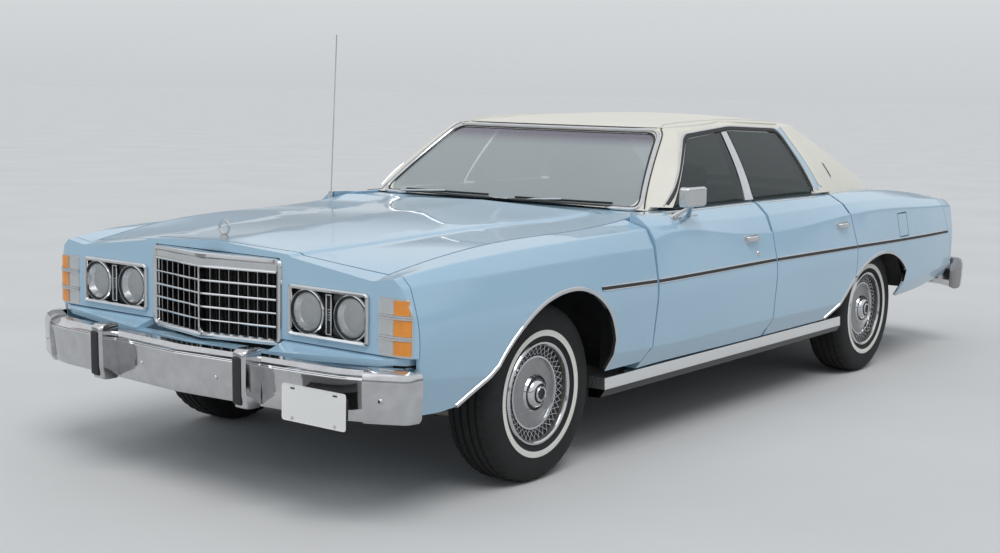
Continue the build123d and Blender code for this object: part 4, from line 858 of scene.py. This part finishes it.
bar_across("grille_header", 0.842, 0.872, 0.010, 0.020, 0.002)
bar_across("grille_header_lip", 0.834, 0.842, 0.004, 0.020, 0.002)
grille_low, grille_high = 0.590, 0.836
row_high = (grille_high - grille_low) / GRILLE_ROWS
for row in range(1, GRILLE_ROWS):
    z = grille_low + row * row_high
    bar_across(f"grille_bar_{row}", z - 0.0035, z + 0.0035, 0.004, 0.022, 0.0015)
column_wide = BARS_HALF / GRILLE_COLUMNS
groups = []
thin = []
for k in range(-GRILLE_COLUMNS, GRILLE_COLUMNS + 1):
    y = k * column_wide
    if k:
        groups.append(box_verts((prow(y, 0.030), y - 0.0018, grille_low),
                                (prow(y, 0.010), y + 0.0018, grille_high)))
    for extra in (1 / 3, 2 / 3):
        yy = y + extra * column_wide
        if yy < BARS_HALF:
            thin.append(box_verts((prow(yy, 0.044), yy - 0.0009, grille_low),
                                  (prow(yy, 0.026), yy + 0.0009, grille_high)))
gathered("grille_uprights", groups, brushed)
gathered("grille_fine_bars", thin, black_rubber)
groups = [box_verts((prow(0, 0.026), -0.004, grille_low), (prow(0, -0.001), 0.004, grille_high))]
gathered("grille_centre_rib", groups, chrome, bevel=0.0015)
backing = []
for y in (-0.335, -0.168, 0.0, 0.168, 0.335):
    x = prow(y, 0.050)
    backing.append([Vector((x - 0.004, y, 0.580)), Vector((x, y, 0.580)), Vector((x, y, 0.880)),
                    Vector((x - 0.004, y, 0.880))])
lofted("grille_backing", backing, black_rubber)

# Headlamps
LAMP_Y = (0.480, 0.693)
LAMP_Z = 0.712
DIVIDER_Y = 0.5865
FLUTES_PER_METRE = 520
bezel_outline = [(0.391, 0.623), (0.772, 0.623), (0.772, 0.801), (0.391, 0.801)]


def lathe_x(name, profile, centre, materials, marks, slot=None, segments=48, flute=0.0):
    """A ring turned about an axis along the car, from (radius, forward) points."""
    rings = []
    for i in range(segments):
        angle = 2 * math.pi * i / segments
        ring = []
        for radius, out in profile:
            y = radius * math.sin(angle)
            z = radius * math.cos(angle)
            ripple = flute * math.cos(y * FLUTES_PER_METRE) if radius > 0.004 else 0.0
            ring.append(Vector((centre[0] + out + ripple, centre[1] + y, centre[2] + z)))
        rings.append(ring)
    verts, faces = loft_rings(rings, closed_path=True)
    face_marks = [marks[i % len(profile)] for i in range(len(faces))]
    return piece(name, verts, faces, materials, "body", slot, face_marks)


for name, s in sides:
    outline = rounded([(s * y, z) for y, z in bezel_outline], 0.018, True, 0.05)
    rim = sweep(f"bezel_{name}", flat_frames(outline, lambda y: NOSE_FACE + 0.0005),
                [(-0.004 * s, -0.030), (-0.004 * s, 0.008), (0.002 * s, 0.013), (0.010 * s, 0.010),
                 (0.016 * s, -0.004), (0.016 * s, -0.030)], chrome, closed=True)
    if s > 0:
        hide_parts("headlamps")
    y_near, y_far = sorted((s * 0.400, s * 0.764))
    gathered(f"bezel_floor_{name}", [box_verts((NOSE_FACE - 0.030, y_near, 0.632),
                                               (NOSE_FACE - 0.022, y_far, 0.792))], lamp_housing)
    groups = []
    for side_of in (-1, 1):
        y = s * DIVIDER_Y + side_of * 0.0115
        groups.append(box_verts((NOSE_FACE - 0.025, y - 0.003, 0.640),
                                (NOSE_FACE + 0.006, y + 0.003, 0.784)))
    for z in (0.640, 0.780):
        groups.append(box_verts((NOSE_FACE - 0.025, s * DIVIDER_Y - 0.0115, z),
                                (NOSE_FACE + 0.006, s * DIVIDER_Y + 0.0115, z + 0.004)))
    for k in range(5):
        z = 0.692 + k * 0.009
        groups.append(box_verts((NOSE_FACE - 0.010, s * DIVIDER_Y - 0.008, z),
                                (NOSE_FACE + 0.003, s * DIVIDER_Y + 0.008, z + 0.003)))
    gathered(f"bezel_divider_{name}", groups, chrome, bevel=0.002)
    gathered(f"bezel_slot_{name}",
             [box_verts((NOSE_FACE - 0.024, s * DIVIDER_Y - 0.0085, 0.644),
                        (NOSE_FACE - 0.004, s * DIVIDER_Y + 0.0085, 0.780))], black_rubber)
    for index, y in enumerate(LAMP_Y):
        centre = (NOSE_FACE, s * y, LAMP_Z)
        lathe_x(f"lamp_ring_{index}_{name}",
                [(0.069, -0.020), (0.069, 0.000), (0.071, 0.005), (0.076, 0.005), (0.078, 0.008),
                 (0.081, 0.007), (0.084, 0.001), (0.086, -0.022)], centre, [black_rubber, chrome],
                [0, 0, 0, 0, 1, 1, 0, 0], "chrome")
        lathe_x(f"lamp_bowl_{index}_{name}",
                [(0.0, -0.030), (0.008, -0.030), (0.010, -0.056), (0.030, -0.051),
                 (0.050, -0.036), (0.062, -0.016), (0.069, 0.001), (0.071, -0.058),
                 (0.0, -0.060)], centre, [reflector, black_rubber], [1, 1, 0, 0, 0, 0, 0, 0, 0])
        lathe_x(f"lamp_lens_{index}_{name}",
                [(0.0, 0.0135), (0.010, 0.0133), (0.020, 0.0128), (0.030, 0.0118),
                 (0.040, 0.0104), (0.050, 0.0085), (0.060, 0.0058), (0.066, 0.0030),
                 (0.0695, -0.001), (0.060, 0.002), (0.040, 0.006), (0.020, 0.0085),
                 (0.0, 0.009)], centre, [lens_clear], [0] * 13, segments=72,
                flute=0.0009)

# Corner lamps
for name, s in sides:
    corner_tree = tree_of("corner_lamps")

    def corner_point(turn, z, lift):
        """A place on the corner lamp's face at a turn about its inner axis."""
        out = Vector((math.cos(turn), s * math.sin(turn), 0))
        start = Vector((2.520, s * 0.870, z)) + out * 0.4
        place, normal, _, _ = corner_tree.ray_cast(start, -out)
        return None if place is None else (place + out * lift, out)

    turns = [math.radians(-38 + 6.5 * k) for k in range(18)]
    column = [t for t in turns if corner_point(t, 0.70, 0)]

    def lamp_band(title, z_low, z_high, first, last, lift, deep, material, wave=0.0):
        """A band round the corner between two levels."""
        rings = []
        fine = 3
        span = column[first:last + 1]
        for a, b in zip(span, span[1:]):
            for k in range(fine + (b == span[-1])):
                t = a + (b - a) * k / fine
                low = corner_point(t, z_low, lift)
                high = corner_point(t, z_high, lift)
                if not low or not high:
                    continue
                rib = low[1] * (wave * (k % 2))
                rings.append([low[0] - low[1] * deep, low[0] + rib, high[0] + rib,
                              high[0] - high[1] * deep])
        if len(rings) > 1:
            lofted(title, rings, material)

    half = len(column) // 2
    for index, (z_low, z_high) in enumerate(((0.606, 0.656), (0.672, 0.728), (0.744, 0.794))):
        lamp_band(f"corner_clear_{index}_{name}", z_low, z_high, 0, half, 0.003, 0.004,
                  lens_clear, 0.0012)
        lamp_band(f"corner_amber_{index}_{name}", z_low, z_high, half, len(column) - 1, 0.003,
                  0.004, amber, 0.0012)
    for index, z in enumerate((0.602, 0.660, 0.668, 0.732, 0.740, 0.798)):
        lamp_band(f"corner_bar_{index}_{name}", z - 0.0028, z + 0.0028, 0, len(column) - 1, 0.007,
                  0.010, chrome)

# Bumpers with their ridges, end caps, guards and rubber, inside the plain bars' outline
bar_section = [(-0.052, 0.000), (-0.024, 0.006), (-0.014, 0.020), (-0.012, 0.070), (-0.006, 0.128),
               (-0.002, 0.146), (-0.001, 0.153), (-0.006, 0.161), (-0.016, 0.163), (-0.028, 0.168),
               (-0.040, 0.180), (-0.070, 0.184), (-0.076, 0.170), (-0.072, 0.010)]
seam_section = [(-0.012, 0.154), (-0.003, 0.155), (-0.003, 0.158), (-0.012, 0.159)]
cap_section = [(-0.040, -0.002), (-0.014, 0.004), (-0.003, 0.020), (0.001, 0.080), (0.003, 0.140),
               (0.002, 0.158), (-0.006, 0.176), (-0.024, 0.186), (-0.066, 0.188), (-0.068, 0.010)]


GUARD_Y = 0.390
GUARD_FACE = 2.838
GUARD_BACK = 2.752


def bumper_plan(place):
    """Half the outline of a bumper's face, from the centre to its end."""
    if place == "front":
        corners = [(2.795, 0.0), (2.733, 0.800), (2.627, 0.994), (2.567, 1.004)]
    else:
        corners = [(-2.815, 0.0), (-2.753, 0.800), (-2.593, 0.994), (-2.533, 1.004)]
    return rounded([Vector(p) for p in corners], 0.10, False, 0.03)


def bumper_path(place, y_from, y_to):
    """Frames along a bumper's face between two distances from the centre."""
    half = bumper_plan(place)
    full = [Vector((p.x, -p.y)) for p in half[:0:-1]] + half
    direction = 1 if place == "front" else -1
    frames = []
    for i, p in enumerate(full):
        if not y_from - 1e-6 <= p.y <= y_to + 1e-6:
            continue
        before = full[max(i - 1, 0)]
        after = full[min(i + 1, len(full) - 1)]
        tangent = (after - before).normalized()
        out = Vector((tangent.y, -tangent.x, 0)) * direction
        if out.x * direction < 0:
            out = -out
        frames.append((Vector((p.x, p.y, 0)), out, Vector((0, 0, 1))))
    return frames


for place, z_low in (("front", 0.378), ("rear", 0.348)):
    direction = 1 if place == "front" else -1
    bar = sweep(f"bumper_bar_{place}", bumper_path(place, -0.99, 0.99),
                [(u, z_low + v) for u, v in bar_section], bumper_chrome)
    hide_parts(f"{place}_bumper")
    sweep(f"bumper_seam_{place}", bumper_path(place, -0.80, 0.80),
          [(u, z_low + v) for u, v in seam_section], black_rubber)
    for name, s in sides:
        y_from, y_to = sorted((s * 0.835, s * 1.01))
        sweep(f"bumper_cap_{place}_{name}", bumper_path(place, y_from, y_to),
              [(u, z_low + v) for u, v in cap_section], bumper_chrome)
        y = s * GUARD_Y
        face = direction * GUARD_FACE
        rings = []
        for z, half, back in ((0.004, 0.024, 0.034), (0.012, 0.029, 0.012), (0.060, 0.0315, 0.002),
                              (0.190, 0.032, 0.0), (0.208, 0.031, 0.004), (0.219, 0.027, 0.018)):
            front = face - direction * back
            behind = direction * GUARD_BACK
            ring = [(behind, y - half), (front - direction * 0.010, y - half),
                    (front, y - half + 0.008), (front, y + half - 0.008),
                    (front - direction * 0.010, y + half), (behind, y + half)]
            rings.append([Vector((x, yy, z_low + z)) for x, yy in ring])
        lofted(f"guard_{place}_{name}", rings, bumper_chrome, bevel=0.003)
        rings = []
        for z, half, out in ((0.022, 0.015, -0.006), (0.030, 0.0195, 0.004),
                             (0.188, 0.0195, 0.006), (0.198, 0.015, -0.004)):
            outer = face + direction * out
            inner = face - direction * 0.012
            ring = [(inner, y - half), (outer - direction * 0.002, y - half),
                    (outer, y - half * 0.6), (outer, y + half * 0.6),
                    (outer - direction * 0.002, y + half), (inner, y + half)]
            rings.append([Vector((x, yy, z_low + z)) for x, yy in ring])
        lofted(f"guard_rubber_{place}_{name}", rings, black_rubber)
        rail_y = 0.420 if place == "front" else 0.520
        x_near, x_far = sorted((direction * 2.600, direction * 2.745))
        gathered(f"bumper_bracket_{place}_{name}",
                 [box_verts((x_near, s * rail_y - 0.029, z_low + 0.055),
                            (x_far, s * rail_y + 0.029, z_low + 0.120))], under_black, bevel=0.003)
    for index, y in enumerate((-0.90, -0.20, 0.20, 0.90)):
        spot = min(bumper_path(place, -1.0, 1.0), key=lambda frame: abs(frame[0].y - y))
        at = spot[0] + spot[1] * (0.001 if abs(y) > 0.8 else -0.010)
        lathe_x(f"bumper_bolt_{place}_{index}",
                [(0.0, direction * 0.005), (0.006, direction * 0.004), (0.009, direction * 0.001),
                 (0.010, -direction * 0.006), (0.0, -direction * 0.006)],
                (at.x, at.y, z_low + 0.085), [chrome], [0] * 5, segments=20)

# Blank plate with rounded corners, slots and bolts, on a dark bracket
plate_outline = rounded([(0.567, 0.372), (0.865, 0.372), (0.865, 0.500), (0.567, 0.500)], 0.012,
                        True, 0.05)
PLATE_X = 2.794
PLATE_Y = 0.716
PLATE_Z = 0.436
rings = [[Vector((PLATE_X + out, PLATE_Y + (p.x - PLATE_Y) * part, PLATE_Z + (p.y - PLATE_Z) * part))
          for p in plate_outline] for out, part in ((0.0, 1.0), (0.0018, 1.0), (0.0022, 0.985),
                                                    (0.0010, 0.975))]
lofted("blank_plate", rings, plate_white)
groups = [box_verts((2.745, 0.600, 0.400), (PLATE_X, 0.830, 0.470))]
for y in (0.608, 0.806):
    groups.append(box_verts((PLATE_X + 0.0005, y, 0.484), (PLATE_X + 0.0016, y + 0.020, 0.490)))
gathered("plate_bracket", groups, black_rubber)
for index, y in enumerate((0.618, 0.816)):
    lathe_x(f"plate_bolt_{index}", [(0.0, 0.005), (0.005, 0.004), (0.006, 0.0), (0.0, 0.0)],
            (PLATE_X, y, 0.384), [chrome], [0] * 4, segments=16)


# Seats
SEAT_Y = 0.335
SQUARENESS = 6.0


def cushion(name, centre, half, crown, channels, material, lean=0.0, pleat=0.006, up=2,
            cells=(26, 40, 14)):
    """A padded block with a crowned face and sewn channels."""
    verts = []
    index = {}
    faces = []
    nx, ny, nz = cells

    def place(u, v, w):
        key = (round(u, 5), round(v, 5), round(w, 5))
        if key in index:
            return index[key]
        size = sum(abs(c) ** SQUARENESS for c in (u, v, w)) ** (1 / SQUARENESS)
        p = [u / size, v / size, w / size]
        q = [p[k] * half[k] for k in range(3)]
        face_part = max(0.0, p[up]) ** 2
        others = [k for k in range(3) if k != up]
        dome = (1 - p[others[0]] ** 2) * (1 - p[others[1]] ** 2)
        q[up] += crown * dome * face_part
        wave = abs(math.sin(math.pi * channels * (p[1] + 1) / 2)) ** 0.5
        q[up] -= pleat * (1 - wave) * face_part * min(1, 4 * dome)
        q[0] -= lean * (q[2] + half[2])
        index[key] = len(verts)
        verts.append(Vector(centre) + Vector(q))
        return index[key]

    def grid(fix, sign, a, b, na, nb):
        for i in range(na):
            for j in range(nb):
                corners = []
                for di, dj in ((0, 0), (1, 0), (1, 1), (0, 1)):
                    p = [0, 0, 0]
                    p[fix] = sign
                    p[a] = -1 + 2 * (i + di) / na
                    p[b] = -1 + 2 * (j + dj) / nb
                    corners.append(place(*p))
                faces.append(tuple(corners))

    for sign in (-1, 1):
        grid(0, sign, 1, 2, ny, nz)
        grid(1, sign, 0, 2, nx, nz)
        grid(2, sign, 0, 1, nx, ny)
    made = piece(name, verts, faces, material)
    return made


for name, s in sides:
    bottom = cushion(f"front_cushion_{name}", (F - 1.605, s * SEAT_Y, 0.465),
                     (0.255, 0.325, 0.065), 0.020, 7, cloth_light)
    cushion(f"front_back_{name}", (F - 1.865, s * SEAT_Y, 0.765), (0.055, 0.325, 0.245),
            0.022, 7, cloth_light, lean=0.22, up=0, cells=(12, 40, 26))
    cushion(f"head_rest_{name}", (F - 2.005, s * SEAT_Y, 1.075), (0.045, 0.135, 0.070),
            0.012, 1, cloth, up=0, pleat=0.0, cells=(8, 14, 10))
    if s > 0:
        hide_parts("front_seat")
gathered("front_seat_base",
         [box_verts((F - 1.900, -0.650, 0.330), (F - 1.370, -0.175, 0.410)),
          box_verts((F - 1.900, 0.175, 0.330), (F - 1.370, 0.650, 0.410))], cloth, bevel=0.01)
rest_posts = []
for name, s in sides:
    for dy in (-0.05, 0.05):
        rest_posts.append(box_verts((F - 2.010, s * SEAT_Y + dy - 0.006, 0.960),
                                    (F - 1.998, s * SEAT_Y + dy + 0.006, 1.020)))
gathered("head_rest_posts", rest_posts, chrome)
REAR_SEAT_X = REAR_AXLE + 0.314
rear_bottom = cushion("rear_cushion", (REAR_SEAT_X + 0.300, 0, 0.505), (0.150, 0.640, 0.068),
                      0.018, 12, cloth_light, cells=(20, 70, 10))
cushion("rear_back", (REAR_SEAT_X + 0.150, 0, 0.720), (0.055, 0.640, 0.200), 0.018, 12,
        cloth_light, lean=0.25, up=0, cells=(10, 70, 20))
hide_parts("rear_seat")

# Carpet beside and over the tunnel
groups = [box_verts((-0.600, 0.170, 0.297), (0.820, 0.740, 0.306)),
          box_verts((-0.600, -0.740, 0.297), (0.820, -0.170, 0.306)),
          box_verts((-0.600, -0.164, 0.4705), (0.800, 0.164, 0.478))]
gathered("floor_carpet", groups, carpet, bevel=0.002)

# Wipers
screen_hit = caster(tree_of("windshield", "roof"), "front")
for name, foot, tip in (("left", (0.08, 1.010), (0.60, 1.013)), ("right", (-0.60, 1.010),
                                                               (-0.08, 1.013))):
    line = rounded([foot, tip], 0, False, 0.05)
    path = on_surface(line, screen_hit)
    sweep(f"wiper_blade_{name}", path, [(-0.003, 0.0005), (-0.002, 0.009), (0.002, 0.009),
                                        (0.003, 0.0005)], black_rubber)
    arm_path = on_surface(rounded([(foot[0] - 0.02, foot[1] - 0.012),
                                   ((foot[0] + tip[0]) / 2, (foot[1] + tip[1]) / 2)], 0, False,
                                  0.05), screen_hit)
    sweep(f"wiper_arm_{name}", [(p + o * 0.010, a, o) for p, a, o in arm_path],
          [(-0.004, 0), (-0.003, 0.004), (0.003, 0.004), (0.004, 0)], chrome)

# Mirror arm and base on the door
BASE_X = 0.780
BASE_Z = 0.976
BASE_LONG = 0.046
BASE_HIGH = 0.013
foot = side_hit["left"](0.785, 0.975)[0]
points = [foot + Vector((0.0, -0.004, -0.004)), foot + Vector((-0.006, 0.010, 0.012)),
          Vector((0.764, 0.955, 1.010)), Vector((0.758, 0.968, 1.034))]
arm = []
for i, (p, half) in enumerate(zip(points, (0.022, 0.014, 0.010, 0.009))):
    before = points[max(i - 1, 0)]
    after = points[min(i + 1, 3)]
    tangent = (after - before).normalized()
    across = Vector((1, 0, 0))
    out = tangent.cross(across).normalized()
    arm.append([p + across * (half * math.cos(t)) + out * (half * 0.7 * math.sin(t))
                for t in (2 * math.pi * j / 12 for j in range(12))])
lofted("mirror_arm", arm, chrome, "door_front_left")
rings = []
for share, lift in ((1.0, -0.001), (1.0, 0.002), (0.85, 0.004), (0.05, 0.0045)):
    ring = []
    for j in range(24):
        t = 2 * math.pi * j / 24
        place = side_hit["left"](BASE_X + BASE_LONG * share * math.cos(t),
                                 BASE_Z + BASE_HIGH * share * math.sin(t))
        ring.append(place[0] + place[1] * lift)
    rings.append(ring)
lofted("mirror_base", rings, chrome, "door_front_left")

# Mirror face and C pillar ornament
gathered("mirror_face", [box_verts((F - 1.0765, 0.962, 1.030), (F - 1.0745, 1.006, 1.100))],
         mirror_glass, "door_front_left", bevel=0.003)
for name, s in sides:
    for title, half, high, proud, finish in (("ornament", 0.0075, 0.040, 0.004, chrome),
                                             ("inset", 0.0045, 0.034, 0.006, black_rubber)):
        line = [Vector((-1.029 + lean * high * 0.25, 1.112 + lean * high)) for lean in (1, 0.5, 0,
                                                                                       -0.5, -1)]
        sweep(f"pillar_{title}_{name}", on_surface(line, roof_hit[name]),
              [(-half, -0.001), (-half, proud * 0.7), (0, proud), (half, proud * 0.7),
               (half, -0.001)], finish)

# Tail lamp bezels
for name, s in sides:
    outline = rounded([(s * y, z) for y, z in ((0.446, 0.596), (0.804, 0.596), (0.804, 0.754),
                                               (0.446, 0.754))], 0.012, True, 0.05)
    path = [(at, across, -out)
            for at, across, out in flat_frames(outline, lambda y: TAIL_FACE - 0.014)]
    sweep(f"tail_bezel_{name}", path,
          [(-0.003 * s, -0.010), (-0.003 * s, 0.004), (0.006 * s, 0.006), (0.012 * s, 0.002),
           (0.012 * s, -0.010)], chrome, closed=True)
    groups = []
    for k in range(1, 6):
        y = s * (0.450 + k * 0.350 / 6)
        groups.append(box_verts((TAIL_FACE - 0.018, y - 0.002, 0.604),
                                (TAIL_FACE - 0.012, y + 0.002, 0.746)))
    groups.append(box_verts((TAIL_FACE - 0.019, min(s * 0.452, s * 0.798), 0.672),
                            (TAIL_FACE - 0.012, max(s * 0.452, s * 0.798), 0.678)))
    gathered(f"tail_ribs_{name}", groups, chrome)

# Floor, light and camera
FLOOR_COLOUR = (0.66, 0.66, 0.655)
FLOOR_HALF = 300
floor_mesh = bpy.data.meshes.new("floor")
floor_corners = [(x * FLOOR_HALF, y * FLOOR_HALF, 0) for x, y in ((-1, -1), (1, -1), (1, 1), (-1, 1))]
floor_mesh.from_pydata(floor_corners, [], [(0, 1, 2, 3)])
floor = bpy.data.objects.new("floor", floor_mesh)
scene.collection.objects.link(floor)
floor_mesh.materials.append(surface("floor_finish", FLOOR_COLOUR, 0.9, vary=0.03, vary_scale=0.8,
                                    grain=60, specular=0.1))

BACKDROP = (0.592, 0.611, 0.625)
world = bpy.data.worlds.new("studio")
scene.world = world
world.use_nodes = True
tree = world.node_tree
tree.nodes.clear()
coords = tree.nodes.new("ShaderNodeTexCoord")
split = tree.nodes.new("ShaderNodeSeparateXYZ")
tree.links.new(coords.outputs["Generated"], split.inputs[0])
sky = ramp(tree, split.outputs["Z"],
           [(0.0, BACKDROP), (0.075, (0.68, 0.70, 0.715)), (0.11, (0.30, 0.31, 0.32)),
            (0.19, (0.26, 0.27, 0.28)), (0.25, (0.84, 0.87, 0.90)), (1.0, (0.93, 0.95, 0.98))])
seen = tree.nodes.new("ShaderNodeBackground")
tree.links.new(sky, seen.inputs["Color"])
seen.inputs["Strength"].default_value = 1.0
lit = tree.nodes.new("ShaderNodeBackground")
lit.inputs["Color"].default_value = (0.88, 0.94, 1.0, 1)
lit.inputs["Strength"].default_value = 0.50
rays = tree.nodes.new("ShaderNodeLightPath")
shown = rays.outputs["Is Camera Ray"]
for ray in ("Is Glossy Ray", "Is Transmission Ray"):
    either = tree.nodes.new("ShaderNodeMath")
    either.operation = "MAXIMUM"
    tree.links.new(shown, either.inputs[0])
    tree.links.new(rays.outputs[ray], either.inputs[1])
    shown = either.outputs[0]
mix = tree.nodes.new("ShaderNodeMixShader")
tree.links.new(shown, mix.inputs[0])
tree.links.new(lit.outputs[0], mix.inputs[1])
tree.links.new(seen.outputs[0], mix.inputs[2])
world_out = tree.nodes.new("ShaderNodeOutputWorld")
tree.links.new(mix.outputs[0], world_out.inputs[0])


def sun(name, direction, spread_deg, power):
    """A soft far light that shines along a direction."""
    data = bpy.data.lights.new(name, "SUN")
    data.angle = math.radians(spread_deg)
    data.energy = power
    made = bpy.data.objects.new(name, data)
    made.rotation_euler = Vector(direction).to_track_quat("-Z", "Y").to_euler()
    scene.collection.objects.link(made)


sun("key", (-0.35, -0.45, -1.0), 35, 1.35)
sun("fill", (-0.9, 0.35, -0.8), 60, 0.35)

yaw, pitch, roll = (math.radians(v) for v in (CAMERA_YAW, CAMERA_PITCH, CAMERA_ROLL))
view = Vector((math.cos(pitch) * math.cos(yaw), math.cos(pitch) * math.sin(yaw), math.sin(pitch)))
right = Vector((math.sin(yaw), -math.cos(yaw), 0))
up = right.cross(view)
tilted_right = right * math.cos(roll) + up * math.sin(roll)
tilted_up = up * math.cos(roll) - right * math.sin(roll)
camera_data = bpy.data.cameras.new("camera")
camera_data.lens = CAMERA_LENS
camera_data.sensor_width = 36
camera = bpy.data.objects.new("camera", camera_data)
camera.matrix_world = Matrix((
    (tilted_right.x, tilted_up.x, -view.x, CAMERA_AT[0]),
    (tilted_right.y, tilted_up.y, -view.y, CAMERA_AT[1]),
    (tilted_right.z, tilted_up.z, -view.z, CAMERA_AT[2]),
    (0, 0, 0, 1),
))
scene.collection.objects.link(camera)
scene.camera = camera
scene.view_settings.view_transform = "Standard"
